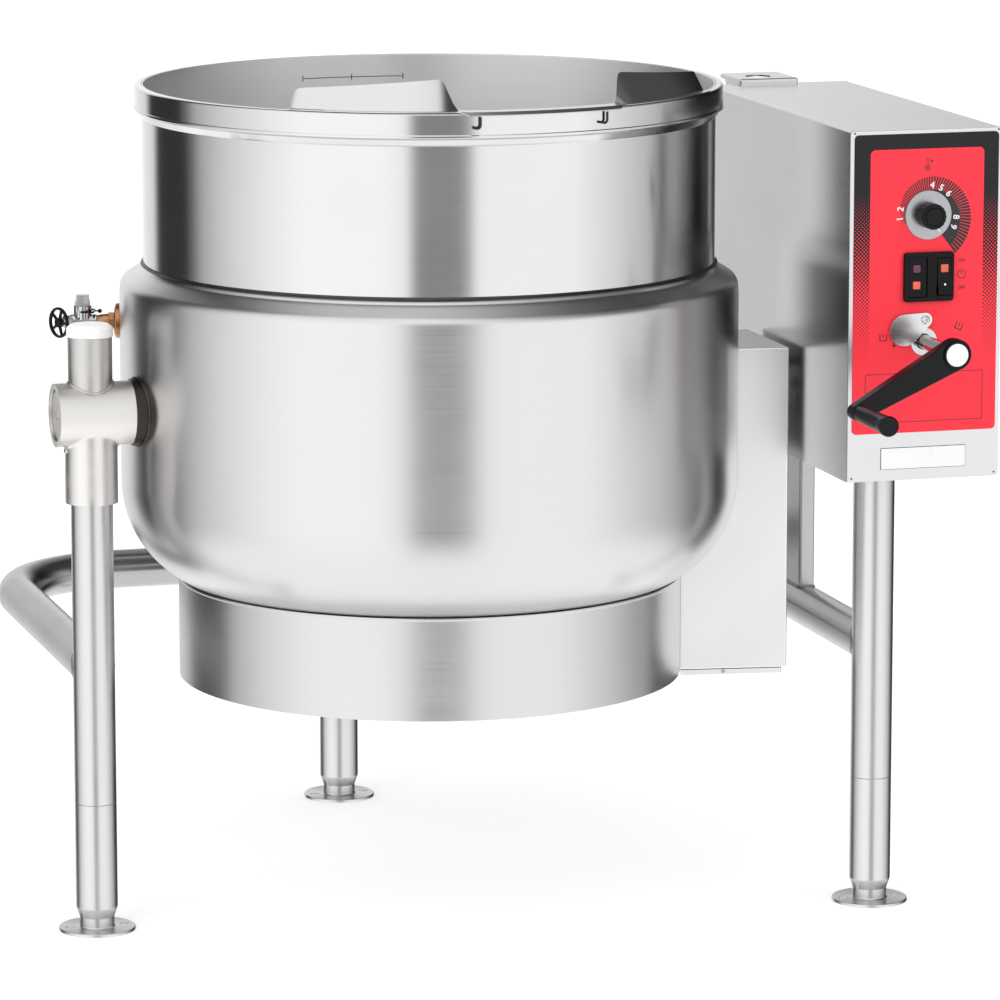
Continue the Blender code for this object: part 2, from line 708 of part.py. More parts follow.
def make_legs():
    bore = TUBE_R - TUBE_WALL
    low = SEAM_Z + GAP
    tops = {"left": SLEEVE_BORE_TOP_Z - GAP, "right": BASE_Z + 75 * MM, "rear": RAIL_Z}
    for side, leg in (("left", LEFT_LEG), ("right", RIGHT_LEG), ("rear", REAR_LEG)):
        mesh = pipe(TUBE_R, bore, low, tops[side], upright(leg.x, leg.y))
        made = add(f"leg_{side}", mesh, STEEL, "standing_frame")
        if side == "rear":
            reach = 60 * MM
            rail = along_x(REAR_LEG.y, RAIL_Z)
            cut(made, rod(TUBE_R + GAP, leg.x - reach, leg.x + reach, rail, PIPE_SIDES))
        make_foot(side, leg)
    make_post()


def make_foot(side, leg):
    frame = upright(leg.x, leg.y)
    stem = TUBE_R - TUBE_WALL - RUN
    plate_top = FOOT_PLATE
    profile = [(0, 0), (FOOT_PLATE_R - 1 * MM, 0), (FOOT_PLATE_R, 1 * MM)]
    profile += [(FOOT_PLATE_R, plate_top - 1 * MM), (FOOT_PLATE_R - 1 * MM, plate_top)]
    profile += [(FOOT_NECK_R + 1 * MM, plate_top), (FOOT_NECK_R, plate_top + 2 * MM)]
    profile += [(FOOT_NECK_R, FOOT_NECK_TOP), (TUBE_R, FOOT_TAPER_TOP), (TUBE_R, SEAM_Z)]
    profile += [(stem, SEAM_Z), (stem, SEAM_Z + FOOT_STEM), (0, SEAM_Z + FOOT_STEM)]
    mesh = turned(profile, frame, PIPE_SIDES)
    foot = add(f"foot_{side}", mesh, STEEL, f"levelling_{side}")
    for way in (-1, 1):
        hole = upright(leg.x + way * FOOT_HOLE_AT, leg.y)
        cut(foot, rod(FOOT_HOLE_R, -5 * MM, plate_top + 5 * MM, hole, 10))


def make_post():
    """A flat tube from the rail up to the console's base."""
    left = RIGHT_LEG.x - POST_WIDE / 2
    right = RIGHT_LEG.x + POST_WIDE / 2
    back = POST_FRONT_Y + POST_DEEP
    top = BASE_Z - GAP
    mesh = box((left, POST_FRONT_Y, RAIL_Z), (right, back, top))
    post = add("rear_post", mesh, STEEL, "standing_frame")
    cut(post, box((left + POST_WALL, POST_FRONT_Y + POST_WALL, RAIL_Z - 9 * MM),
                  (right - POST_WALL, back - POST_WALL, top + 9 * MM)))
    rail = along_y(RIGHT_LEG.x, RAIL_Z)
    cut(post, rod(TUBE_R + GAP, POST_FRONT_Y - 20 * MM, back + 20 * MM, rail, PIPE_SIDES))


def make_left_housing():
    axle = along_x(TILT_Y, TILT_Z)
    barrel = rod(BARREL_R, BARREL_LEFT, BARREL_RIGHT, axle, 28)
    housing = add("bearing_housing", barrel, "cast", "standing_frame")
    upright_leg = upright(LEFT_LEG.x, LEFT_LEG.y)
    join(housing, rod(SLEEVE_R, SLEEVE_BOTTOM_Z, TILT_Z, upright_leg, 24))
    cut(housing, rod(BARREL_BORE_R, BARREL_LEFT - 5 * MM, BARREL_RIGHT + 5 * MM, axle, 28))
    bore = TUBE_R + GAP
    cut(housing, rod(bore, SLEEVE_BOTTOM_Z - 5 * MM, SLEEVE_BORE_TOP_Z, upright_leg, PIPE_SIDES))
    bush = pipe(BARREL_BORE_R - GAP, SHAFT_R + RUN, BARREL_LEFT + 16 * MM, BARREL_RIGHT - GAP,
                axle, 28)
    add("left_bush", bush, "bronze", "standing_frame")
    end = rod(BARREL_BORE_R - GAP, BARREL_LEFT + 2.5 * MM, BARREL_LEFT + 8 * MM, axle, 28)
    cap = add("bearing_end_cap", end, "cast", "standing_frame")
    slot = (9 * MM, 5 * MM)
    cut(cap, box((BARREL_LEFT, TILT_Y - slot[0], TILT_Z - slot[1]),
                 (BARREL_LEFT + 5 * MM, TILT_Y + slot[0], TILT_Z + slot[1])))
    tube = pipe(POST_TOP_R, POST_TOP_R - 3 * MM, TILT_Z + 5 * MM, POST_TOP_Z, upright_leg)
    post = add("post_top", tube, STEEL, "standing_frame")
    cut(post, rod(BARREL_R + GAP, BARREL_LEFT - 20 * MM, BARREL_RIGHT + 20 * MM, axle, 28))
    low = POST_TOP_Z + GAP
    plug = (POST_TOP_R - 3 * MM) * cos(pi / PIPE_SIDES) - GAP
    profile = [(0, low - 12 * MM), (plug, low - 12 * MM), (plug, low), (CAP_R, low)]
    profile += [(CAP_R, low + CAP_HIGH - 5 * MM), (CAP_R - 1.5 * MM, low + CAP_HIGH - 1.5 * MM)]
    profile += [(CAP_R - 5 * MM, low + CAP_HIGH), (0, low + CAP_HIGH)]
    add("post_cap", turned(profile, upright_leg, 24), "white_plastic", "standing_frame")


# Console
def make_console():
    inner_left = CONSOLE_LEFT + SHEET
    inner_right = RIGHT_X - SHEET
    top = CONSOLE_TOP_Z
    outline = [(CONSOLE_LEFT, BASE_Z), (inner_left, BASE_Z), (inner_left, top - SHEET)]
    outline += [(inner_right, top - SHEET), (inner_right, BASE_Z), (RIGHT_X, BASE_Z)]
    outline += [(RIGHT_X, top), (CONSOLE_LEFT, top)]
    front_frame = Matrix.Rotation(pi / 2, 4, "X")
    mesh = prism(outline, -BACK_Y, -CONSOLE_FRONT_Y, front_frame)
    housing = add("console_housing", mesh, STEEL, "standing_frame")
    hole = rod(TUBE_SHAFT_R + 3 * MM, CONSOLE_LEFT - 9 * MM, CONSOLE_LEFT + 9 * MM,
               along_x(TILT_Y, TILT_Z), 24)
    cut(housing, hole)
    make_console_base()
    make_console_back()
    make_panel()


def make_console_base():
    edge = SHEET + GAP
    low = (CONSOLE_LEFT + edge, CONSOLE_FRONT_Y, BASE_Z)
    high = (RIGHT_X - edge, BACK_Y, BASE_Z + SHEET)
    base = add("console_base", box(low, high), STEEL, "standing_frame")
    leg = upright(RIGHT_LEG.x, RIGHT_LEG.y)
    cut(base, rod(TUBE_R + GAP, BASE_Z - 9 * MM, BASE_Z + 9 * MM, leg, PIPE_SIDES))


def make_console_back():
    low = (CONSOLE_LEFT, BACK_Y + GAP, BASE_Z)
    high = (RIGHT_X, BACK_Y + GAP + SHEET, CONSOLE_TOP_Z)
    add("console_back", box(low, high), STEEL, "standing_frame")
    near = BACK_Y + 2 * GAP + SHEET
    top = CONSOLE_TOP_Z + BRACKET_HIGH
    wall = 2 * MM
    far = near + BRACKET_DEEP
    mesh = box((BRACKET[0], near, CONSOLE_TOP_Z - 40 * MM), (BRACKET[1], far, top))
    bracket = add("spout_bracket", mesh, STEEL, "standing_frame")
    cut(bracket, box((BRACKET[0] + wall, near + wall, CONSOLE_TOP_Z - 60 * MM),
                     (BRACKET[1] - wall, far + 9 * MM, top - wall)))
    drop = CONSOLE_TOP_Z - 60 * MM
    slope = [(near + 14 * MM, drop), (far + 9 * MM, drop), (far + 9 * MM, CONSOLE_TOP_Z)]
    slope += [(far - 20 * MM, CONSOLE_TOP_Z)]
    turn = Matrix(((0, 0, 1, 0), (1, 0, 0, 0), (0, 1, 0, 0), (0, 0, 0, 1)))
    cut(bracket, prism(slope, BRACKET[0] - 9 * MM, BRACKET[1] + 9 * MM, turn))
    hole = upright(BRACKET_HOLE[0], BACK_Y + BRACKET_HOLE[1])
    cut(bracket, rod(BRACKET_HOLE_R, top - 9 * MM, top + 9 * MM, hole, 20))


def make_panel():
    front_centre = Vector((CONSOLE_LEFT + CONSOLE_WIDE / 2, 0, CONSOLE_TOP_Z - CONSOLE_HIGH / 2))
    frame = face_frame(front_centre)
    plate = prism(rounded(CONSOLE_WIDE, CONSOLE_HIGH, 3 * MM), -CONSOLE_FRONT_Y + GAP, -PANEL_Y,
                  frame)
    panel = add("front_panel", plate, STEEL, "standing_frame")
    centre = console_point((CONSOLE_WIDE / 2, OVERLAY_TOP + OVERLAY_SIZE[1] / 2), 0)
    film = prism(rounded(*OVERLAY_SIZE, 5 * MM), -PANEL_Y + GAP, -FACE_Y, face_frame(centre))
    overlay = add("control_overlay", film, "red_film", "standing_frame")
    for target in (panel, overlay):
        cut(target, *panel_holes())
    make_switch()
    make_knob()
    make_flap()


def panel_holes():
    near = -CONSOLE_FRONT_Y - 9 * MM
    far = -FACE_Y + 9 * MM
    shaft = face_frame(console_point(CRANK_AT, 0))
    spindle = face_frame(console_point(KNOB_AT, 0))
    switch = face_frame(console_point(SWITCH_AT, 0))
    wide = SWITCH_SIZE[0] - 2 * (SWITCH_LEDGE - RUN)
    high = SWITCH_SIZE[1] - 2 * (SWITCH_LEDGE - RUN)
    yield rod(CRANK_HOLE_R, near, far, shaft, 20)
    yield rod(5 * MM, near, far, spindle, 12)
    yield prism(rounded(wide, high, 2 * MM, 1), near, far, switch)


def make_switch():
    """A bezel with a lamp window on the left and a rocker on the right."""
    frame = face_frame(console_point(SWITCH_AT, 0))
    seat = -FACE_Y + GAP
    front = seat + 4.5 * MM
    bezel_mesh = prism(rounded(*SWITCH_SIZE, 4 * MM), seat, front, frame)
    bezel = add("switch_bezel", bezel_mesh, "black_plastic", "standing_frame")
    wide = SWITCH_SIZE[0] - 2 * SWITCH_LEDGE
    high = SWITCH_SIZE[1] - 2 * SWITCH_LEDGE
    body = prism(rounded(wide, high, 2 * MM, 1), seat - 22 * MM, seat + 1 * MM, frame)
    join(bezel, body)
    window_frame = frame @ Matrix.Translation((WINDOW_AT, 0, 0))
    rocker_frame = frame @ Matrix.Translation((ROCKER_AT, 0, 0))
    wide, high = WINDOW_SIZE
    cut(bezel, prism(rounded(wide, high, 2 * MM, 1), seat - 6 * MM, front + 5 * MM, window_frame))
    wide, high = ROCKER_SIZE
    hole = prism(rounded(wide, high, GAP, 1), seat - 16 * MM, front + 5 * MM, rocker_frame)
    cut(bezel, hole)
    low = seat - 6 * MM + GAP
    wide, high = (WINDOW_SIZE[0] - 2 * GAP, WINDOW_SIZE[1] - 2 * GAP)
    window = prism(rounded(wide, high, 2 * MM, 1), low, front - 2 * MM, window_frame)
    made = add("lamp_window", window, "black_plastic", "standing_frame")
    for name, kind, up in (("lamp_upper", "lamp_pink", 9.5), ("lamp_lower", "lamp_orange", -9.5)):
        lamp_frame = window_frame @ Matrix.Translation((0, up * MM, 0))
        half = LAMP / 2
        lens = prism(rounded(LAMP, LAMP, 1 * MM, 1), front - 4 * MM, front - 1.4 * MM, lamp_frame)
        add(name, lens, kind, "standing_frame")
        hole = prism(rounded(2 * half + 2 * GAP, 2 * half + 2 * GAP, 1 * MM, 1),
                     front - 4 * MM - GAP, front + 2 * MM, lamp_frame)
        cut(made, hole)
    make_rocker(rocker_frame, front)


def make_rocker(frame, front):
    """A rocker of shallow V section, its top half pressed in at rest."""
    half = ROCKER_SIZE[1] / 2 - 0.9 * MM
    wide = ROCKER_SIZE[0] / 2 - 0.5 * MM
    axis = -FACE_Y + 1 * MM
    crest = front + 1.2 * MM - axis
    outline = [(-half, 1 * MM), (-half, crest + 1.6 * MM), (0, crest - 0.6 * MM)]
    outline += [(half, crest + 1.6 * MM), (half, 1 * MM), (6 * MM, -8 * MM), (-6 * MM, -8 * MM)]
    tilt = Matrix.Translation((0, 0, axis)) @ Matrix.Rotation(-ROCKER_TILT, 4, "X")
    rings = []
    for x in (-wide, wide):
        rings.append([frame @ tilt @ Vector((x, up, out)) for up, out in outline])
    add("power_rocker", skin(rings), "black_plastic", "rocking_switch")


def make_knob():
    frame = face_frame(console_point(KNOB_AT, 0))
    seat = -FACE_Y + GAP
    profile = [(0, seat - 16 * MM), (3 * MM, seat - 16 * MM), (3 * MM, seat), (DIAL_R, seat)]
    profile += [(DIAL_R, seat + 0.8 * MM), (DIAL_R - 0.6 * MM, seat + 1.2 * MM)]
    profile += [(0, seat + 1.2 * MM)]
    add("knob_dial", turned(profile, frame, 32), "chrome", "turning_knob")
    low = seat + 1.2 * MM + GAP
    flutes = 18
    outline = []
    for i in range(2 * flutes):
        radius = KNOB_R - (0.9 * MM if i % 2 else 0)
        outline.append((radius * cos(pi * i / flutes), radius * sin(pi * i / flutes)))
    levels = ((1.0, low), (1.0, low + KNOB_HIGH - 2 * MM), (0.86, low + KNOB_HIGH))
    rings = [[frame @ Vector((x * s, y * s, h)) for x, y in outline] for s, h in levels]
    add("thermostat_knob", skin(rings), "black_plastic", "turning_knob")
    centre = console_point(KNOB_AT, 0)
    back = CONSOLE_FRONT_Y
    body = box((centre.x - 20 * MM, back, centre.z - 18 * MM),
               (centre.x + 20 * MM, back + 30 * MM, centre.z + 18 * MM))
    made = add("thermostat_body", body, "dark_steel", "standing_frame")
    cut(made, rod(3 * MM + GAP, -back - 25 * MM, -back + 9 * MM, frame, 12))


def make_flap():
    """A pear shaped plate that swings over the shaft's hole when the crank is off.
    Its straight side rests on the shaft."""
    frame = face_frame(console_point(PIVOT_AT, 0))
    across = CRANK_AT[0] - PIVOT_AT[0]
    down = CRANK_AT[1] - PIVOT_AT[1]
    side = acos((FLAP_EYE_R - FLAP_LOBE_R) / FLAP_ARM)
    rest = acos((FLAP_EYE_R + CRANK_SHAFT_R + 2 * GAP) / sqrt(across**2 + down**2))
    angle = atan2(-down, across) - side + rest
    low = -FACE_Y + 1.6 * MM
    outline = two_circles(FLAP_EYE_R, FLAP_LOBE_R, FLAP_ARM, angle)
    flap = add("shaft_flap", prism(outline, low, low + 1.5 * MM, frame), "chrome",
               "swinging_flap")
    cut(flap, rod(2.8 * MM, low - 5 * MM, low + 9 * MM, frame, 12))
    seat = -FACE_Y + GAP
    profile = [(0, seat), (4.5 * MM, seat), (4.5 * MM, low - GAP), (2.5 * MM, low - GAP)]
    profile += [(2.5 * MM, low + 1.5 * MM + GAP), (5 * MM, low + 1.5 * MM + GAP)]
    profile += [(4.4 * MM, low + 3.4 * MM), (2.6 * MM, low + 4.2 * MM), (0, low + 4.2 * MM)]
    add("flap_screw", turned(profile, frame, 12), "chrome", "standing_frame")


# Tilting gear
def make_gear():
    tip = WHEEL_PITCH_R + 3 * MM
    root = WHEEL_PITCH_R - 4 * MM
    twist = LEAD * asin(WHEEL_HALF / WORM_PITCH_R) / (2 * pi) / WHEEL_PITCH_R
    rings = []
    for x, turn in ((CRANK_X - WHEEL_HALF, -twist), (CRANK_X + WHEEL_HALF, twist)):
        rings.append(tooth_ring(root, tip, x, turn))
    bore = TUBE_SHAFT_R + GAP
    for x in (CRANK_X + WHEEL_HALF, CRANK_X - WHEEL_HALF):
        rings.append(round_ring(bore, x, 4 * TEETH))
    mesh = skin(rings, closed=True)
    add("worm_wheel", mesh, "bronze", "tilting_kettle")
    make_worm()
    make_bearings()


def wheel_point(radius, turn, x):
    """A point of the worm wheel, its angle from the top, positive towards the front."""
    return Vector((x, TILT_Y - radius * sin(turn), TILT_Z + radius * cos(turn)))


def round_ring(radius, x, count):
    return [wheel_point(radius, 2 * pi * i / count, x) for i in range(count)]


def tooth_ring(root, tip, x, twist):
    """Four points a tooth. A space between two teeth faces the worm's thread."""
    points = []
    foot = 3.1 * MM / root
    head = 1.3 * MM / tip
    for i in range(TEETH):
        middle = 2 * pi * (i + 0.5) / TEETH + twist
        for radius, turn in ((root, -foot), (tip, -head), (tip, head), (root, foot)):
            points.append(wheel_point(radius, middle + turn, x))
    return points


def make_worm():
    """The crank's shaft with a worm thread on it, over the wheel."""
    root = CENTRES - WHEEL_PITCH_R - 3.6 * MM
    tip = WORM_PITCH_R + 3 * MM
    frame = along_y(CRANK_X, CRANK_Z)
    middle = TILT_Y
    start = middle - WORM_LONG / 2 - 6 * MM
    end = middle + WORM_LONG / 2 + 6 * MM
    profile = [(0, ARM_FRONT_Y + GAP), (CRANK_SHAFT_R, ARM_FRONT_Y + GAP), (CRANK_SHAFT_R, start)]
    profile += [(root, start), (root, end), (CRANK_SHAFT_R, end)]
    profile += [(CRANK_SHAFT_R, end + 45 * MM), (0, end + 45 * MM)]
    shaft = add("worm_shaft", turned(profile, frame, 20), "dark_steel", "turning_crank")
    rings = []
    steps = 14
    turns = int(WORM_LONG / LEAD)
    for i in range(-turns * steps // 2, turns * steps // 2 + 1):
        angle = 2 * pi * i / steps
        y = middle + LEAD * angle / (2 * pi)
        around = angle + pi
        section = ((root - 1 * MM, -2.7 * MM), (tip, -1.0 * MM), (tip, 1.0 * MM))
        section += ((root - 1 * MM, 2.7 * MM),)
        out = Vector((sin(around), 0, cos(around)))
        centre = Vector((CRANK_X, 0, CRANK_Z))
        rings.append([centre + out * r + Vector((0, y + along, 0)) for r, along in section])
    join(shaft, skin(rings))


def make_bearings():
    """Blocks inside the console that carry the right trunnion and the crank's shaft."""
    bore = TUBE_SHAFT_R + RUN
    low = BASE_Z + SHEET + GAP
    near = CONSOLE_LEFT + 14 * MM
    far = near + 40 * MM
    half = 48 * MM
    block = box((near, TILT_Y - half, low), (far, TILT_Y + half, TILT_Z + half))
    made = add("trunnion_block", block, "cast", "standing_frame")
    cut(made, rod(bore, near - 9 * MM, far + 9 * MM, along_x(TILT_Y, TILT_Z), 28))
    crank = along_y(CRANK_X, CRANK_Z)
    hole = CRANK_SHAFT_R + RUN
    front = pipe(CRANK_HOLE_R - GAP, hole, FACE_Y, CONSOLE_FRONT_Y + 30 * MM, crank, 20)
    add("shaft_bushing", front, "chrome", "standing_frame")
    y = TILT_Y + WORM_LONG / 2 + 12 * MM
    stand = box((CRANK_X - 22 * MM, y, low), (CRANK_X + 22 * MM, y + 18 * MM, CRANK_Z + 20 * MM))
    rear = add("shaft_stand", stand, "cast", "standing_frame")
    cut(rear, rod(hole, y - 9 * MM, y + 30 * MM, crank, 20))
    cut(rear, box((CRANK_X - 30 * MM, y - 9 * MM, low + 8 * MM),
                  (CRANK_X + 12 * MM, y + 30 * MM, TILT_Z + 60 * MM)))


# Crank
def make_crank():
    frame = face_frame(Vector((CRANK_X, 0, CRANK_Z)))
    front = -ARM_FRONT_Y
    outline = two_circles(ARM_HUB_R, ARM_END_R, CRANK_RADIUS, pi + CRANK_ANGLE, 10)
    arm = add("crank_arm", prism(outline, front - ARM_THICK, front, frame), "black_plastic",
              "turning_crank")
    cut(arm, rod(CRANK_SHAFT_R + GAP, front - ARM_THICK - 9 * MM, front - GAP, frame, 20))
    cap = [(0, front + GAP), (13 * MM, front + GAP), (13 * MM, front + 1.4 * MM)]
    cap += [(11.5 * MM, front + 2 * MM), (0, front + 2 * MM)]
    add("crank_cap", turned(cap, frame, 20), "white_plastic", "turning_crank")
    hand = face_frame(along_crank(CRANK_RADIUS))
    tip = front + GRIP_LONG
    join(arm, rod(PIN_R, front - 2 * MM, tip - 8 * MM, hand, 12))
    low = front + RUN
    blind_bore = [(0, tip - 7 * MM), (PIN_R + GAP, tip - 7 * MM), (PIN_R + GAP, low)]
    outside = [(8.4 * MM, low), (9.2 * MM, low + 4 * MM), (GRIP_R - 1 * MM, tip - 18 * MM)]
    outside += [(GRIP_R, tip - 8 * MM), (GRIP_R, tip - 2 * MM), (GRIP_R - 2 * MM, tip), (0, tip)]
    add("crank_grip", turned(blind_bore + outside, hand), "black_plastic", "spinning_grip")


def main():
    for old in list(bpy.data.objects):
        bpy.data.objects.remove(old, do_unlink=True)
    make_groups()
    make_vessel()
    make_band()
    make_jacket()
    make_skirt()
    make_lip()
    make_trunnions()
    make_wiring_cover()
    make_valve()
    make_rail()
    make_legs()
    make_left_housing()
    make_console()
    make_gear()
    make_crank()


main()
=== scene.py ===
"""Looks of the steam jacketed kettle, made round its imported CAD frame.

Lengths are metres. Outlines are drawn about the kettle's own upright axis, and a finished piece
is then carried to its place in the part's frame. +Z is up and -Y is the operator's side.
"""

import bpy
from math import acos, asin, atan2, cos, pi, radians, sin, sqrt, tan
from mathutils import Matrix, Vector


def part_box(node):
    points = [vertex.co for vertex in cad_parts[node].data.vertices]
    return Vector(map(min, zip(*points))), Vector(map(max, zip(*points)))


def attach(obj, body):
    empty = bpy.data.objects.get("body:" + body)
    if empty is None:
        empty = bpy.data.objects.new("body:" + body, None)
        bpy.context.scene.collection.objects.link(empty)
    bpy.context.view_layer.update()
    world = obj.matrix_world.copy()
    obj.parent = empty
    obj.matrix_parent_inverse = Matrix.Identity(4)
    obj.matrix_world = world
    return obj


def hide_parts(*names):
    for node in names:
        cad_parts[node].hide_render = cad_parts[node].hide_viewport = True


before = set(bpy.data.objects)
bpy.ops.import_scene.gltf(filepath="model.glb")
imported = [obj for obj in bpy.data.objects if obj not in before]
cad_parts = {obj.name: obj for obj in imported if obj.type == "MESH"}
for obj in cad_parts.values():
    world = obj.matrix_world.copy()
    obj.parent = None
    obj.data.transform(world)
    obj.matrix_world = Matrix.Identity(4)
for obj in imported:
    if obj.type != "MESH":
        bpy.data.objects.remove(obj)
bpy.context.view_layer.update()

bl_info = {
    "name": "Steam jacketed kettle",
    "version": (1, 0, 0),
    "blender": (4, 5, 0),
    "location": "3D View > Sidebar > Kettle",
    "description": "Models and finishes a tilting steam jacketed kettle round its CAD frame",
    "category": "Object",
}

MM = 0.001
UP = Vector((0, 0, 1))
RIGHT = Vector((1, 0, 0))
FRONT = Vector((0, -1, 0))
GAP = 0.3 * MM
# How far a cutting tool stands past the piece that it cuts
PAST = 9 * MM


def middle_of(node):
    low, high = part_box(node)
    return (low + high) / 2


HOME = Vector((*middle_of("rim_band")[:2], 0))


def reach(node):
    """A node's lowest and highest corner about the kettle's own axis."""
    low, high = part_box(node)
    return low - HOME, high - HOME


def in_plane(place):
    """The same place, carried forward or back to the plane of the kettle's axis."""
    return Vector((place.x, 0, place.z))


# Places and sizes that the frame gives
BAND_R = reach("rim_band")[1].x
RIM_Z = reach("rim_band")[1].z
BAND_FOOT_Z = reach("rim_band")[0].z
VESSEL_OUT = reach("inner_vessel")[1].x
VESSEL_BOTTOM_Z = reach("inner_vessel")[0].z
BALL_Z = VESSEL_BOTTOM_Z + VESSEL_OUT
JACKET_R = reach("steam_jacket")[1].x
SHOULDER_TOP_Z = reach("steam_jacket")[1].z
JACKET_BOTTOM_Z = reach("steam_jacket")[0].z
SKIRT_R = reach("bottom_skirt")[1].x
SKIRT_BOTTOM_Z = reach("bottom_skirt")[0].z
SKIRT_TOP_Z = reach("bottom_skirt")[1].z
TILT = middle_of("bearing_end_cap") - HOME
AXLE = Vector((0, TILT.y, TILT.z))
BARREL = (reach("bearing_housing")[0].x, reach("bearing_housing")[1].x)
SLEEVE_BOTTOM_Z = reach("bearing_housing")[0].z
POST_TOP_Z = reach("post_top")[1].z
CAP_TOP_Z = reach("post_cap")[1].z
LEGS = {side: middle_of(f"leg_{side}") - HOME for side in ("left", "right", "rear")}
TUBE_R = (reach("leg_left")[1].x - reach("leg_left")[0].x) / 2
SEAM_Z = reach("leg_left")[0].z
FOOT_R = (reach("foot_left")[1].x - reach("foot_left")[0].x) / 2
RAIL_Z = (middle_of("frame_rail") - HOME).z
RAIL_BACK_Y = reach("frame_rail")[1].y - TUBE_R
POST_LOW, POST_HIGH = reach("rear_post")
COVER_LOW, COVER_HIGH = reach("wiring_cover")
PAN_LOW, PAN_HIGH = reach("cover_pan")
BOX_LOW, BOX_HIGH = reach("console_housing")
PLATE_LOW, PLATE_HIGH = reach("front_panel")
FACE_Y = reach("control_overlay")[0].y
BRACKET_LOW, BRACKET_HIGH = reach("spout_bracket")
CRANK = in_plane(middle_of("crank_cap") - HOME)
ARM_FRONT_Y = reach("crank_cap")[1].y + GAP
GRIP_AT = in_plane(middle_of("crank_grip") - HOME)
GRIP_TIP_Y = reach("crank_grip")[0].y
KNOB = in_plane(middle_of("knob_dial") - HOME)
SWITCH_LOW, SWITCH_HIGH = reach("switch_bezel")
SWITCH = in_plane((SWITCH_LOW + SWITCH_HIGH) / 2)
BEZEL_FRONT_Y = SWITCH_LOW.y

# Real sizes that a box doesn't give
VESSEL_WALL = 2 * MM
BAND_FACE = 24 * MM
JACKET_WALL = 2.5 * MM
SHOULDER_Z = 736 * MM
KNUCKLE_Z = 506.5 * MM
KNUCKLE_R = 125 * MM
LIP_TURN = radians(7)
# On each side of the lip's middle: how far the lip, its trough and the trough's side reach
LIP_LEFT = (radians(50), radians(16.4), radians(3.6))
LIP_RIGHT = (radians(48.2), radians(17.3), radians(5.2))
BOSS_R = 38.5 * MM
SHAFT_R = 22.2 * MM
BARREL_R = 36.5 * MM
SLEEVE_R = 30.2 * MM
POST_R = 25.4 * MM
CAP_SEAT = 4.5 * MM
RAIL_BEND_R = 150 * MM
TUBE_WALL = 3.2 * MM
SHEET = 1.5 * MM
COVER_SLANT = 0.154
CRANK_RADIUS = 130 * MM
CRANK_ANGLE = radians(28)
VALVE_TURN = radians(16)
VENT_TURN = radians(25)
VALVE_Z = 690 * MM
# From the jacket's side out to the valve's body, its neck and its branch
BODY_OUT = 27 * MM
NECK_OUT = 43.5 * MM
BRANCH_OUT = 52 * MM
DIAL_R = 28 * MM
# Where the fan of lines round the dial starts and ends, from the right
DIAL_START = radians(200)
DIAL_END = radians(-54)
INK = 0.05 * MM
PLATE_EDGE_RISE = 0.3 * MM
# From the switch's middle to its lamps and its rocker, and from a lamp's middle to the window's
LAMPS_LEFT = 14.5 * MM
ROCKER_RIGHT = 18.2 * MM
LAMP_RISE = 9.5 * MM
ROCKER_TOP = FACE_Y - BEZEL_FRONT_Y + 0.2 * MM
FLAP_LOW = -FACE_Y + 1.6 * MM
# Turns a section drawn in y and z to face the side
SIDEWAYS = Matrix(((0, 0, 1, 0), (1, 0, 0, 0), (0, 1, 0, 0), (0, 0, 0, 1)))

# The photographer's place, about the part's frame
VIEW_TARGET = Vector((15.4, -43.1, 473.3)) * MM
VIEW_TURN = radians(16.065)
VIEW_DROP = radians(10.149)
VIEW_AWAY = 6.6348
VIEW_LENS = 203.03
VIEW_SIDE = atan2(HOME.x - VIEW_TARGET.x + VIEW_AWAY * sin(VIEW_TURN) * cos(VIEW_DROP),
                  VIEW_AWAY * cos(VIEW_TURN) * cos(VIEW_DROP))


def linear(code):
    """A linear colour from its sRGB hex value."""
    parts = [int(code[i:i + 2], 16) / 255 for i in (1, 3, 5)]
    return [p / 12.92 if p <= 0.04045 else ((p + 0.055) / 1.055) ** 2.4 for p in parts]


def rgba(colour):
    return (*colour, 1.0)


def hue(name, description, code):
    """A colour setting with its sRGB hex default."""
    return bpy.props.FloatVectorProperty(name=name, description=description, subtype="COLOR",
                                         size=3, min=0, max=1, default=linear(code))


class KettleSizes(bpy.types.PropertyGroup):
    """Sizes that a user would change."""
    round_sides: bpy.props.IntProperty(
        name="Round sides", description="Faces round the bowl, the jacket and the skirt",
        default=160, min=48, max=256)
    tube_sides: bpy.props.IntProperty(
        name="Tube sides", description="Faces round a leg, the rail and the small turned pieces",
        default=48, min=16, max=96)
    bend: bpy.props.FloatProperty(
        name="Sheet bend", description="Outside radius where the sheet steel is folded",
        default=2.5 * MM, unit="LENGTH")
    weld: bpy.props.FloatProperty(
        name="Weld bead", description="Radius of the welds on the frame",
        default=1.6 * MM, unit="LENGTH")
    grit: bpy.props.FloatProperty(
        name="Brushing lines", description="Spacing of the lines left by brushing",
        default=0.9 * MM, unit="LENGTH")
    dots: bpy.props.FloatProperty(
        name="Halftone", description="Spacing of the dots in which the film's black fades out",
        default=4.4 * MM, unit="LENGTH")
    marks: bpy.props.IntProperty(
        name="Dial marks", description="Lines in the fan round the dial", default=58, min=8)


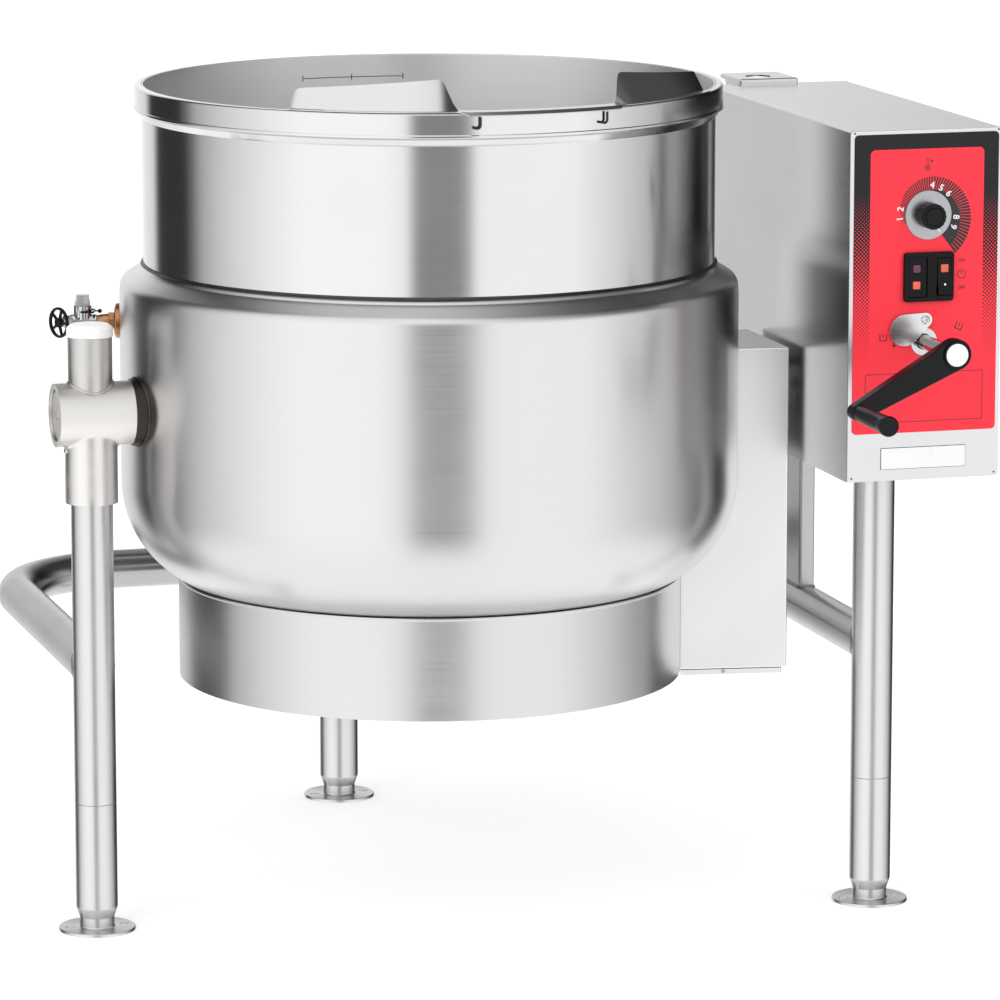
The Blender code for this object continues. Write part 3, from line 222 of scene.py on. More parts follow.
class KettleColours(bpy.types.PropertyGroup):
    """Colours that a user would change."""
    steel: hue("Stainless steel", "The bowl, jacket, sheets and tubes", "#CDCCCD")
    cast: hue("Cast steel", "The bearing housing and the blocks in the console", "#C9C7C4")
    brass: hue("Brass", "The fitting that carries the relief valve", "#BC8A62")
    bronze: hue("Bronze", "The worm wheel and the bush", "#B98A4A")
    chrome: hue("Chrome", "The valve, the flap and the screws", "#BFC0C1")
    white: hue("White plastic", "The caps on the post and the crank", "#FAFAFA")
    black: hue("Black plastic", "The crank, the knob and the switch", "#0E0F11")
    film_red: hue("Film red", "The middle of the control film", "#FA3645")
    film_black: hue("Film black", "The frame and the dots of the control film", "#131216")
    magenta: hue("Magenta lamp", "The upper lamp", "#62204C")
    orange: hue("Orange lamp", "The lower lamp and the rocker's lens", "#F2683A")
    floor: hue("Floor", "The studio's floor", "#FFFFFF")


# Modelling steps
def clear():
    """Leaves edit mode and deselects everything."""
    if bpy.context.object and bpy.context.object.mode != "OBJECT":
        bpy.ops.object.mode_set(mode="OBJECT")
    bpy.ops.object.select_all(action="DESELECT")


def only(piece):
    clear()
    piece.select_set(True)
    bpy.context.view_layer.objects.active = piece
    return piece


def settle():
    """Carries the selected object's place, turn and scale into its mesh."""
    bpy.ops.object.transform_apply(location=True, rotation=True, scale=True)


def edit_all():
    """Enters edit mode with the whole mesh selected."""
    bpy.ops.object.mode_set(mode="EDIT")
    bpy.ops.mesh.select_all(action="SELECT")


def mend():
    """Merges doubled points, turns the faces outwards and leaves edit mode."""
    bpy.ops.mesh.select_all(action="SELECT")
    bpy.ops.mesh.remove_doubles(threshold=0.01 * MM)
    bpy.ops.mesh.normals_make_consistent(inside=False)
    bpy.ops.object.mode_set(mode="OBJECT")
    return bpy.context.object


def draw(points, filled=False):
    """Draws a line of edges through points, each vertex extruded from the last one."""
    clear()
    bpy.ops.mesh.primitive_plane_add(size=MM, location=(0, 0, 0))
    bpy.ops.object.mode_set(mode="EDIT")
    bpy.ops.mesh.merge(type="CENTER")
    bpy.ops.transform.translate(value=points[0])
    for here, there in zip(points, points[1:]):
        bpy.ops.mesh.extrude_vertices_move(TRANSFORM_OT_translate={"value": there - here})
    bpy.ops.mesh.select_all(action="SELECT")
    if filled:
        bpy.ops.mesh.edge_face_add()
    return bpy.context.object


def arc(centre, radius, start, end, steps):
    """Points of an arc in (radius, height) form."""
    turns = [start + (end - start) * i / steps for i in range(steps + 1)]
    return [(centre[0] + radius * cos(t), centre[1] + radius * sin(t)) for t in turns]


def eased(corners, steps=4):
    """An outline whose corners of three values are rounded, the third being the radius."""
    points = []
    for i, corner in enumerate(corners):
        here = Vector(corner[:2])
        if len(corner) < 3:
            points.append(here)
            continue
        back = (Vector(corners[i - 1][:2]) - here).normalized()
        ahead = (Vector(corners[(i + 1) % len(corners)][:2]) - here).normalized()
        half = back.angle(ahead) / 2
        middle = here + (back + ahead).normalized() * (corner[2] / sin(half))
        start = here + back * (corner[2] / tan(half)) - middle
        end = here + ahead * (corner[2] / tan(half)) - middle
        sweep = atan2(start.x * end.y - start.y * end.x, start.dot(end))
        for step in range(steps + 1):
            turn = Matrix.Rotation(sweep * step / steps, 2)
            points.append(middle + turn @ start)
    return points


def rectangle(wide, high, radius, steps=5):
    half = (wide / 2, high / 2)
    corners = [(sx * half[0], sy * half[1], radius) for sx, sy in ((1, 1), (-1, 1), (-1, -1), (1, -1))]
    return eased(corners, steps)


def turned(outline, centre=Vector(), axis=UP, sides=None, closed=False):
    """Spins an outline of (radius, height) points right round an axis."""
    side = axis.orthogonal().normalized()
    points = [centre + side * radius + axis * height for radius, height in outline]
    if closed:
        points.append(points[0])
    draw(points)
    steps = sides or bpy.context.scene.kettle_sizes.tube_sides
    bpy.ops.mesh.spin(steps=steps, angle=2 * pi, center=centre, axis=axis)
    return mend()


def rod(radius, low, high, centre=Vector(), axis=UP, edge=0.0, sides=None):
    corner = (edge,) if edge else ()
    outline = eased([(0, low), (radius, low, *corner), (radius, high, *corner), (0, high)], 3)
    return turned(outline, centre, axis, sides)


def pipe(radius, bore, low, high, centre=Vector(), axis=UP, edge=0.3 * MM, sides=None):
    corners = [(radius, low, edge), (radius, high, edge), (bore, high, edge), (bore, low, edge)]
    return turned(eased(corners, 2), centre, axis, sides, closed=True)


def swept(outline, start, sweep, steps):
    """Spins a filled section part of the way round the kettle's axis, from the angle start."""
    way = Vector((sin(start), -cos(start), 0))
    draw([way * radius + UP * height for radius, height in outline], filled=True)
    bpy.ops.mesh.spin(steps=steps, angle=-sweep, center=(0, 0, 0), axis=UP)
    return mend()


def plate(outline, low, high, place=None, edge=0.0):
    """Fills an outline and extrudes it from low to high along its place's third axis."""
    place = place or Matrix()
    draw([place @ Vector((x, y, low)) for x, y in outline], filled=True)
    out = place.to_3x3() @ Vector((0, 0, high - low))
    bpy.ops.mesh.extrude_region_move(TRANSFORM_OT_translate={"value": out})
    piece = mend()
    return soften(piece, edge) if edge else piece


def block(low, high, edge=0.0, segments=3):
    """A cube pulled to its place, its edges bevelled."""
    clear()
    bpy.ops.mesh.primitive_cube_add(size=1, location=(low + high) / 2)
    bpy.ops.transform.resize(value=high - low)
    settle()
    if edge:
        edit_all()
        bpy.ops.mesh.bevel(offset=edge, segments=segments, affect="EDGES")
        bpy.ops.object.mode_set(mode="OBJECT")
    return bpy.context.object


def change(piece, kind, **settings):
    """Adds a modifier and applies it."""
    only(piece)
    bpy.ops.object.modifier_add(type=kind)
    modifier = piece.modifiers[-1]
    for name, value in settings.items():
        setattr(modifier, name, value)
    bpy.ops.object.modifier_apply(modifier=modifier.name)
    return piece


def soften(piece, width, segments=2, above=40):
    return change(piece, "BEVEL", width=width, segments=segments, limit_method="ANGLE",
                  angle_limit=radians(above), harden_normals=False)


def carve(piece, *tools, how="DIFFERENCE"):
    """Cuts a piece with tools, or adds them to it, and puts the tools away."""
    for tool in tools:
        change(piece, "BOOLEAN", operation=how, solver="EXACT", object=tool)
        bpy.data.objects.remove(tool)
    return piece


def joined(pieces):
    clear()
    for piece in pieces:
        piece.select_set(True)
    bpy.context.view_layer.objects.active = pieces[0]
    if len(pieces) > 1:
        bpy.ops.object.join()
    return pieces[0]


def copied(piece, steps):
    """Copies a piece by each step, every copy with its own mesh, and joins them all."""
    made = [piece]
    for step in steps:
        only(piece)
        bpy.ops.object.duplicate(linked=False)
        bpy.ops.transform.translate(value=step)
        settle()
        made.append(bpy.context.object)
    return joined(made)


def spun_copies(piece, count, centre, axis):
    """Copies a piece evenly round an axis and joins the copies to it."""
    made = [piece]
    for i in range(1, count):
        only(piece)
        bpy.ops.object.duplicate(linked=False)
        copy = bpy.context.object
        turn = Matrix.Rotation(2 * pi * i / count, 4, axis)
        copy.matrix_world = Matrix.Translation(centre) @ turn @ Matrix.Translation(-centre)
        settle()
        made.append(copy)
    return joined(made)


def wire(points, radius, closed=False, rings=3):
    """A round wire or weld bead along points: edges made a curve, thickened and made a mesh."""
    piece = draw(points + points[:1] if closed else points)
    bpy.ops.mesh.remove_doubles(threshold=0.01 * MM)
    bpy.ops.object.mode_set(mode="OBJECT")
    bpy.ops.object.convert(target="CURVE")
    piece = bpy.context.object
    piece.data.bevel_depth = radius
    piece.data.bevel_resolution = rings
    piece.data.use_fill_caps = not closed
    bpy.ops.object.convert(target="MESH")
    bpy.ops.object.mode_set(mode="EDIT")
    return mend()


def finish(piece, name, body, look, *nodes, slot=None, angle=30):
    """Carries a piece to its place, shades it, and hands it to the frame."""
    only(piece)
    piece.name = name
    piece.data.name = name
    piece.location = HOME
    settle()
    bpy.ops.object.shade_smooth_by_angle(angle=radians(angle))
    change(piece, "WEIGHTED_NORMAL", keep_sharp=True)
    piece.data.materials.clear()
    piece.data.materials.append(LOOKS[look])
    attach(piece, body)
    if nodes:
        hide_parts(*nodes)
    return piece


# Finishes
LOOKS = {}


def add_node(tree, kind, settings=None, links=None):
    """Adds one node. A setting is a property or an input's own value, and stops fill a ramp."""
    node = tree.nodes.new(kind)
    for name, value in (settings or {}).items():
        if name == "stops":
            ramp = node.color_ramp
            while len(ramp.elements) < len(value):
                ramp.elements.new(0.5)
            for element, (place, colour) in zip(ramp.elements, value):
                element.position = place
                element.color = rgba(colour)
        elif isinstance(name, int) or name in node.inputs:
            node.inputs[name].default_value = value
        else:
            setattr(node, name, value)
    for name, source in (links or {}).items():
        tree.links.new(source, node.inputs[name])
    return node


def new_look(name):
    look = bpy.data.materials.new(name)
    look.use_nodes = True
    look.node_tree.nodes.clear()
    LOOKS[name] = look
    return look.node_tree


def close_look(tree, shader):
    add_node(tree, "ShaderNodeOutputMaterial", links={"Surface": shader.outputs["BSDF"]})


def tone(colour, share):
    return [part * share for part in colour]


def brushed(name, colour, lines, along, rough, pull, contrast=0.04):
    """Metal brushed in one direction. lines scales the streaks, along is the way that a
    reflection is drawn out, across the lines."""
    tree = new_look(name)
    place = add_node(tree, "ShaderNodeTexCoord")
    mapping = add_node(tree, "ShaderNodeMapping", {"Scale": lines},
                       {"Vector": place.outputs["Object"]})
    streaks = add_node(tree, "ShaderNodeTexNoise", {"Scale": 1.0, "Detail": 3.0, "Roughness": 0.6},
                       {"Vector": mapping.outputs["Vector"]})
    clouds = add_node(tree, "ShaderNodeTexNoise", {"Scale": 9.0, "Detail": 2.0},
                      {"Vector": place.outputs["Object"]})
    cloudy = add_node(tree, "ShaderNodeMapRange",
                      {"From Min": 0.3, "From Max": 0.7, "To Min": -0.2, "To Max": 0.2},
                      {"Value": clouds.outputs["Fac"]})
    blend = add_node(tree, "ShaderNodeMath", {"operation": "ADD"},
                     {0: streaks.outputs["Fac"], 1: cloudy.outputs["Result"]})
    tint = add_node(tree, "ShaderNodeValToRGB",
                    {"stops": [(0.25, tone(colour, 1 - contrast)), (0.75, colour)]},
                    {"Fac": blend.outputs["Value"]})
    roughness = add_node(tree, "ShaderNodeMapRange",
                         {"From Min": 0.3, "From Max": 0.7, "To Min": rough * 0.92,
                          "To Max": rough * 1.08}, {"Value": blend.outputs["Value"]})
    bump = add_node(tree, "ShaderNodeBump", {"Strength": 0.05, "Distance": 0.02 * MM},
                    {"Height": streaks.outputs["Fac"]})
    tangent = add_node(tree, "ShaderNodeVectorTransform",
                       {"vector_type": "VECTOR", "convert_from": "OBJECT", "convert_to": "WORLD",
                        "Vector": along})
    shader = add_node(tree, "ShaderNodeBsdfPrincipled", {"Metallic": 1.0, "Anisotropic": pull},
                      {"Base Color": tint.outputs["Color"], "Roughness": roughness.outputs["Result"],
                       "Normal": bump.outputs["Normal"], "Tangent": tangent.outputs["Vector"]})
    close_look(tree, shader)


def grained(name, colour, metallic, rough, grain, bump_depth, spread=0.08, **extra):
    """A surface with an even fine grain, such as cast, moulded or plated pieces have."""
    tree = new_look(name)
    place = add_node(tree, "ShaderNodeTexCoord")
    fine = add_node(tree, "ShaderNodeTexNoise", {"Scale": 1 / grain, "Detail": 3.0},
                    {"Vector": place.outputs["Object"]})
    broad = add_node(tree, "ShaderNodeTexNoise", {"Scale": 25.0, "Detail": 2.0},
                     {"Vector": place.outputs["Object"]})
    tint = add_node(tree, "ShaderNodeValToRGB",
                    {"stops": [(0.3, tone(colour, 1 - spread)), (0.7, colour)]},
                    {"Fac": broad.outputs["Fac"]})
    roughness = add_node(tree, "ShaderNodeMapRange",
                         {"From Min": 0.3, "From Max": 0.7, "To Min": rough * 0.85,
                          "To Max": rough * 1.15}, {"Value": broad.outputs["Fac"]})
    bump = add_node(tree, "ShaderNodeBump", {"Strength": 0.4, "Distance": bump_depth},
                    {"Height": fine.outputs["Fac"]})
    shader = add_node(tree, "ShaderNodeBsdfPrincipled", {"Metallic": metallic, **extra},
                      {"Base Color": tint.outputs["Color"], "Roughness": roughness.outputs["Result"],
                       "Normal": bump.outputs["Normal"]})
    close_look(tree, shader)


def halftone(name, ink, ground, dots, low_z, high_z):
    """Polyester film printed on its back, whose black fades into red through diamond dots.
    Its front is an even satin."""
    tree = new_look(name)
    place = add_node(tree, "ShaderNodeTexCoord")
    parts = add_node(tree, "ShaderNodeSeparateXYZ", links={"Vector": place.outputs["Object"]})
    waves = []
    for way in ("ADD", "SUBTRACT"):
        slanted = add_node(tree, "ShaderNodeMath", {"operation": way},
                           {0: parts.outputs["X"], 1: parts.outputs["Z"]})
        turns = add_node(tree, "ShaderNodeMath", {"operation": "MULTIPLY", 1: 2 * pi / dots},
                         {0: slanted.outputs["Value"]})
        waves.append(add_node(tree, "ShaderNodeMath", {"operation": "COSINE"},
                              {0: turns.outputs["Value"]}))
    grid = add_node(tree, "ShaderNodeMath", {"operation": "ADD"},
                    {0: waves[0].outputs["Value"], 1: waves[1].outputs["Value"]})
    fade = add_node(tree, "ShaderNodeMapRange",
                    {"From Min": low_z, "From Max": high_z, "To Min": -2.0, "To Max": 2.0},
                    {"Value": parts.outputs["Z"]})
    dotted = add_node(tree, "ShaderNodeMath", {"operation": "LESS_THAN"},
                      {0: grid.outputs["Value"], 1: fade.outputs["Result"]})
    tint = add_node(tree, "ShaderNodeMix", {"data_type": "RGBA", 6: rgba(ground), 7: rgba(ink)},
                    {"Factor": dotted.outputs["Value"]})
    fine = add_node(tree, "ShaderNodeTexNoise", {"Scale": 900.0, "Detail": 2.0},
                    {"Vector": place.outputs["Object"]})
    bump = add_node(tree, "ShaderNodeBump", {"Strength": 0.2, "Distance": 0.02 * MM},
                    {"Height": fine.outputs["Fac"]})
    shader = add_node(tree, "ShaderNodeBsdfPrincipled",
                      {"Roughness": 0.45, "Specular IOR Level": 0.3},
                      {"Base Color": tint.outputs["Result"], "Normal": bump.outputs["Normal"]})
    close_look(tree, shader)


def make_looks(sizes, colours):
    """Every finish, named for what the real one is made of and how it was made. Some are painted lighter or
    darker to stand for light and shade, as their comments say.
    """
    line = 1 / sizes.grit
    steel = list(colours.steel)
    # Sheet of 304 stainless, ring brushed: fine level lines that draw reflections up and down
    brushed("ring_brushed_stainless", steel, (3, 3, line), UP, 0.19, 0.80)
    # Inside, the bowl has a duller dairy finish, and its steel is painted lighter to stand for the light
    # the inner wall catches
    brushed("dairy_finish_painted_light_stainless", tone(steel, 1.4), (3, 3, line), UP, 0.44, 0.80)
    # The jacket's coarser belt grinding gives softer bands
    brushed("belt_ground_stainless", steel, (4, 4, line), UP, 0.30, 0.75)
    # The rim is polished after rolling, so its bands are crisp
    brushed("polished_rim_stainless", steel, (6, 6, line * 1.5), UP, 0.15, 0.70, 0.04)
    # The skirt is ground only, so it is the dullest of the round sheets
    brushed("ground_skirt_stainless", tone(steel, 0.98), (5, 5, line * 0.9), UP, 0.36, 0.60)
    # Centreless polished tube
    brushed("polished_tube_stainless", steel, (40, 40, line), UP, 0.35, 0.60, 0.03)
    # The rear leg's tube is the same steel, painted darker to stand for the shade it stands in under the
    # kettle
    brushed("shaded_rear_tube_stainless", tone(steel, 0.32), (40, 40, line), UP, 0.36, 0.50, 0.05)
    # The bent rail and the post on it are hand finished, and look duller
    brushed("satin_rail_stainless", tone(steel, 0.66), (120, 40, 120), (0.5, 1, 0), 0.24, 0.10, 0.03)
    # Folded sheet with its grain along the console
    brushed("long_grain_stainless", tone(steel, 0.97), (line, 4, line), (0.3, 0, 1), 0.20, 0.40, 0.03)
    # Flat sheet with its grain across
    brushed("cross_grain_stainless", tone(steel, 1.0), (4, line, line), UP, 0.30, 0.30, 0.02)
    # The wiring cover's sheet, with its grain upright, is painted lighter: painted light for the bright
    # reflection it shows
    brushed("painted_light_cover_stainless", tone(steel, 1.42), (line, line, 4), RIGHT, 0.36, 0.30, 0.02)
    # Bright rolled sheet of the pour lip and the flap
    brushed("bright_sheet_stainless", steel, (40, 40, line * 2), UP, 0.22, 0.30, 0.03)
    # Ground and polished shaft, its steel tinted pink to paint the red film's reflection in it
    brushed("ground_steel_painted_pink_reflection", linear("#C2BAB7"), (30, line * 2, 30), UP, 0.16, 0.30, 0.05)
    # Spun aluminium skirt of the dial
    brushed("spun_aluminium", linear("#A2A3A6"), (200, 200, 200), UP, 0.28, 0.3, 0.05)
    # Investment cast stainless, blasted: an even grey with a fine grain
    grained("blasted_cast_stainless", list(colours.cast), 1.0, 0.42, 1.1 * MM, 0.03 * MM, 0.06)
    # The tee's casting is peened after blasting, so it is brighter than the post
    grained("peened_cast_stainless", tone(list(colours.cast), 1.24), 1.0, 0.38, 1.1 * MM, 0.03 * MM, 0.06)
    # Machined carbon steel, oiled
    grained("oiled_steel", linear("#403D3B"), 1.0, 0.36, 0.8 * MM, 0.06 * MM, 0.3)
    # A weld bead left brushed, with its ripples
    grained("brushed_weld", linear("#98918C"), 1.0, 0.34, 2.2 * MM, 0.5 * MM, 0.3)
    # A dark bead that closes the jacket: painted shade for the crevice between the jacket and the bowl, and
    # round the trunnion bosses
    grained("painted_shade_weld", linear("#56504C"), 1.0, 0.40, 2.2 * MM, 0.4 * MM, 0.3)
    # Cast brass, tarnished to pink at its skin
    grained("cast_brass", list(colours.brass), 1.0, 0.24, 2.6 * MM, 0.9 * MM, 0.45)
    # Machined tin bronze
    grained("machined_bronze", list(colours.bronze), 1.0, 0.30, 0.9 * MM, 0.04 * MM)
    # Bright nickel and chrome plate
    grained("chrome_plate", list(colours.chrome), 1.0, 0.12, 3.0 * MM, 0.02 * MM, 0.05)
    # Moulded polyethylene cap: white, soft and a little translucent
    grained("moulded_white_cap", list(colours.white), 0.0, 0.38, 1.0 * MM, 0.03 * MM, 0.03)
    # Glass filled nylon with a spark eroded grain
    grained("moulded_black_nylon", list(colours.black), 0.0, 0.32, 0.9 * MM, 0.04 * MM, 0.2,
            **{"Specular IOR Level": 0.18})
    # Glossy moulded polycarbonate of the switch
    grained("glossy_black_switch", tone(list(colours.black), 0.5), 0.0, 0.16, 2.5 * MM, 0.02 * MM, 0.2,
            **{"Specular IOR Level": 0.15})
    # Moulded lenses, clear over their colour
    lens = {"Coat Weight": 0.2, "Coat Roughness": 0.08}
    grained("magenta_lens", list(colours.magenta), 0.0, 0.22, 1.2 * MM, 0.2 * MM, 0.35, **lens)
    grained("orange_lens", list(colours.orange), 0.0, 0.22, 1.2 * MM, 0.2 * MM, 0.35, **lens)
    # Screen printing inks, flat and matt
    grained("black_ink", linear("#211D22"), 0.0, 0.50, 0.6 * MM, 0.01 * MM, 0.1)
    grained("white_ink", linear("#F4F2F1"), 0.0, 0.50, 0.6 * MM, 0.01 * MM, 0.04)
    grained("red_film", list(colours.film_red), 0.0, 0.45, 1.1 * MM, 0.02 * MM, 0.04,
            **{"Specular IOR Level": 0.3})
    # The bare plate is white lacquered aluminium
    grained("white_lacquer", linear("#F3F3F4"), 0.0, 0.30, 1.5 * MM, 0.02 * MM, 0.03)
    top = PLATE_HIGH.z
    halftone("halftone_film", list(colours.film_black), list(colours.film_red), sizes.dots,
             top - 272 * MM, top - 72 * MM)


# Kettle
def round_bowl(sides):
    wall = VESSEL_OUT - VESSEL_WALL
    inner = arc((0, BALL_Z), wall, -pi / 2, 0, 20)
    outer = arc((0, BALL_Z), VESSEL_OUT, 0, -pi / 2, 20)
    lip = [(wall, RIM_Z, 0.6 * MM), (VESSEL_OUT, RIM_Z, 0.6 * MM)]
    return turned(eased(inner + lip + outer), sides=sides)


def line_inside(bowl):
    """Gives the faces that look toward the bowl's middle their own finish, rougher and painted lighter."""
    bowl.data.materials.append(LOOKS["dairy_finish_painted_light_stainless"])
    for face in bowl.data.polygons:
        middle = HOME + UP * max(face.center.z, BALL_Z)
        if face.normal.dot(middle - face.center) > 0:
            face.material_index = 1


def round_band(sides):
    near = VESSEL_OUT + GAP
    foot = RIM_Z - BAND_FACE
    corners = [(near, RIM_Z), (BAND_R, RIM_Z, 2.5 * MM), (BAND_R, foot, 0.8 * MM)]
    corners += [(BAND_R + 0.8 * MM, foot - 1 * MM, 0.5 * MM)]
    corners += [(BAND_R + 0.8 * MM, foot - 3.4 * MM, 1.2 * MM)]
    corners += [(BAND_R - 2.5 * MM, foot - 5.6 * MM, 1.5 * MM)]
    corners += [(near + 1.2 * MM, BAND_FOOT_Z + 1.5 * MM, 2 * MM), (near, BAND_FOOT_Z)]
    return turned(eased(corners), sides=sides, closed=True)


def level_mark():
    """A plain etched line on the inner wall, with three short ticks."""
    wall = VESSEL_OUT - VESSEL_WALL - INK
    height = RIM_Z - 27 * MM
    start, sweep = pi - radians(10), radians(22)

    def band(low, high, turn, wide, steps):
        corners = [(wall, low), (wall - INK, low), (wall - INK, high), (wall, high)]
        return swept(corners, turn, wide, steps)

    line = band(height, height + 0.9 * MM, start, sweep, 24)
    ticks = [band(height - 3 * MM, height + 4 * MM, start + sweep * share, radians(0.2), 1)
             for share in (0.0, 0.5, 1.0)]
    return joined([line, *ticks])


def smooth_step(value):
    value = min(max(value, 0.0), 1.0)
    return value * value * (3 - 2 * value)


def rim_point(radius, angle, z):
    """A point at an angle from the lip's middle line, positive to the right."""
    turn = LIP_TURN + angle
    return Vector((radius * sin(turn), -radius * cos(turn), z))


def pour_lip():
    """One bent sheet: a trough over the rim between two wings that lean in."""
    seat = RIM_Z + GAP + 0.6 * MM
    wall = VESSEL_OUT - VESSEL_WALL
    steps = 60
    # A wing is tallest beside the trough, falls toward its end, and has a round corner there
    tall, fall = 34.2 * MM, 12 * MM
    round_from, square_share = 0.94, 0.72
    # It leans in over the bowl, most beside the trough
    lean, more_lean = 8 * MM, 22 * MM
    # The trough dips in front of the rim, and its bend fades out over this turn
    dip, fade = 3.6 * MM, radians(1.5)
    lines = [[], [], [], []]
    for i in range(-steps, steps + 1):
        end, trough, ramp = LIP_LEFT if i < 0 else LIP_RIGHT
        angle = end * i / steps
        past = abs(angle) - trough
        wing = smooth_step(past / ramp)
        bent = 1 - smooth_step((past + fade) / fade)
        along = max(0.0, past) / (end - trough)
        corner = sqrt(1 - min(1.0, max(0.0, (along - round_from) / (1 - round_from))) ** 2)
        rise = (tall - fall * along) * wing * (square_share + (1 - square_share) * corner)
        inward = lean + more_lean * (1 - along) * wing
        lines[0].append(rim_point(BAND_R + 5 * MM * bent, angle, seat - dip * bent))
        lines[1].append(rim_point(BAND_R - 1 * MM + 2.2 * MM * bent, angle, seat))
        lines[2].append(rim_point(wall + 1.8 * MM, angle, seat))
        lines[3].append(rim_point(wall - inward, angle, seat + rise))
    sheet = joined([finished_line(line) for line in lines])
    only(sheet)
    edit_all()
    bpy.ops.mesh.bridge_edge_loops()
    mend()
    change(sheet, "SOLIDIFY", thickness=1.2 * MM, offset=0)
    return soften(sheet, 0.35 * MM, 1, 60)


def finished_line(points):
    piece = draw(points)
    bpy.ops.object.mode_set(mode="OBJECT")
    return piece


def lip_hook(side):
    """A bent wire under the trough that clips the lip to the rim."""
    angle = side * radians(12.8)
    radius = BAND_R + 3.4 * MM
    top = RIM_Z - 4.1 * MM
    foot = RIM_Z - 16.5 * MM
    bend = 3.6 * MM
    path = [(0.0, top), (0.0, foot + bend)]
    path += [(-bend + bend * cos(t), foot + bend + bend * sin(t))
             for t in (-pi / 8, -pi / 4, -3 * pi / 8, -pi / 2)]
    path += [(-2.4 * bend, foot + 0.3 * bend)]
    way = Vector((cos(LIP_TURN + angle), sin(LIP_TURN + angle), 0))
    return wire([rim_point(radius, angle, z) + way * across for across, z in path], 1.5 * MM)


def jacket_line(grow=0.0):
    """The jacket's outside from its weld on the bowl to the middle of its dished bottom."""
    out = JACKET_R + grow
    near = VESSEL_OUT + GAP
    rise = KNUCKLE_Z - JACKET_BOTTOM_Z
    side = JACKET_R - KNUCKLE_R
    crown = (side**2 + rise**2 - KNUCKLE_R**2) / (2 * (rise - KNUCKLE_R))
    turn = asin(side / (crown - KNUCKLE_R)) - pi / 2
    corners = [(near, SHOULDER_TOP_Z + grow), (near + 3 * MM, SHOULDER_TOP_Z - 5 * MM + grow, 4 * MM)]
    corners += [(out - 1 * MM, SHOULDER_Z + 6 * MM + grow, 13 * MM), (out, SHOULDER_Z - 14 * MM)]
    knuckle = arc((side, KNUCKLE_Z), KNUCKLE_R + grow, 0, turn, 20)
    centre = JACKET_BOTTOM_Z + crown
    bottom = arc((0, centre), crown + grow, turn, -pi / 2, 8)[1:]
    return corners + knuckle + bottom


def round_jacket(sides):
    outside = jacket_line()
    inside = jacket_line(-JACKET_WALL)[::-1]
    return turned(eased(outside[::-1]) + eased(inside[::-1]), sides=sides)


def jacket_weld(sides):
    """The bead between the bowl and the top of the jacket's shoulder."""
    near = VESSEL_OUT + GAP
    low = SHOULDER_TOP_Z + GAP
    corners = [(near, low), (near + 3 * MM, low), (near + 1.2 * MM, low + 1.2 * MM, 1 * MM)]
    corners += [(near, low + 3 * MM)]
    return turned(eased(corners), sides=sides, closed=True)


def kettle_tool(grow, sides):
    """The kettle as a filled solid, to cut what seats against it."""
    line = [point for point in eased(jacket_line(grow)) if point[1] > SKIRT_TOP_Z]
    out = SKIRT_R + 1.2 * MM + grow
    low = SKIRT_BOTTOM_Z - 60 * MM
    corners = [(0, SHOULDER_TOP_Z + grow), *[tuple(point) for point in line]]
    corners += [(out, SKIRT_TOP_Z), (out, SKIRT_TOP_Z - 5 * MM)]
    corners += [(SKIRT_R + grow, SKIRT_TOP_Z - 5 * MM), (SKIRT_R + grow, low), (0, low)]
    return turned(corners, sides=sides)


def round_skirt(sides):
    wall = SKIRT_R - SHEET
    top = SKIRT_TOP_Z
    corners = [(wall, SKIRT_BOTTOM_Z, 0.4 * MM), (SKIRT_R, SKIRT_BOTTOM_Z, 0.7 * MM)]
    corners += [(SKIRT_R, top - 3.5 * MM, 1 * MM), (SKIRT_R + 1 * MM, top - 1.5 * MM, 0.6 * MM)]
    corners += [(SKIRT_R + 0.6 * MM, top, 0.3 * MM), (wall, top, 0.3 * MM)]
    return turned(eased(corners, 3), sides=sides, closed=True)


def round_cover(sides):
    low = SKIRT_BOTTOM_Z + 3 * MM
    edge = SKIRT_R - SHEET - GAP
    corners = [(0, low + 2 * MM), (90 * MM, low + 2 * MM, 4 * MM), (94 * MM, low, 4 * MM)]
    corners += [(edge, low, 2 * MM), (edge, low + 9 * MM, 0.3 * MM), (edge - 1.5 * MM, low + 9 * MM)]
    corners += [(edge - 1.5 * MM, low + 1.5 * MM), (94 * MM, low + 1.5 * MM, 4 * MM)]
    corners += [(90 * MM, low + 3.5 * MM, 4 * MM), (0, low + 3.5 * MM)]
    return turned(eased(corners, 3), sides=sides)


def ring_points(radius, count=64):
    """Points of a ring about the origin."""
    turns = [2 * pi * i / count for i in range(count)]
    return [(radius * cos(turn), radius * sin(turn)) for turn in turns]


def boss_weld(side, bead):
    """The weld round a trunnion's boss, on the jacket's side."""
    points = []
    for across, up in ring_points(BOSS_R + 0.6 * MM, 72):
        y = TILT.y + across
        points.append(Vector((side * sqrt((JACKET_R + 0.8 * MM) ** 2 - y * y), y, TILT.z + up)))
    return wire(points, bead, closed=True)


def on_jacket(piece, sides):
    """Cuts a trunnion to seat on the jacket's round wall."""
    return carve(piece, rod(JACKET_R + GAP, TILT.z - 60 * MM, TILT.z + 60 * MM, sides=sides))


def left_trunnion(sides):
    face = BARREL[1] + 0.5 * MM
    near = 30 * MM - JACKET_R
    end = BARREL[0] + 12 * MM
    corners = [(0, near), (BOSS_R, near), (BOSS_R, face, 1 * MM), (SHAFT_R, face)]
    corners += [(SHAFT_R, end, 1 * MM), (0, end)]
    return on_jacket(turned(eased(corners, 3), AXLE, RIGHT), sides)


def right_trunnion(sides):
    node = reach("trunnion_right")
    near = JACKET_R - 30 * MM
    face = JACKET_R + 14 * MM
    shaft = 30 * MM
    corners = [(25 * MM, near), (BOSS_R, near), (BOSS_R, face, 1 * MM), (shaft, face)]
    corners += [(shaft, node[1].x, 0.8 * MM), (25 * MM, node[1].x, 0.4 * MM)]
    return on_jacket(turned(eased(corners, 3), AXLE, RIGHT, closed=True), sides)


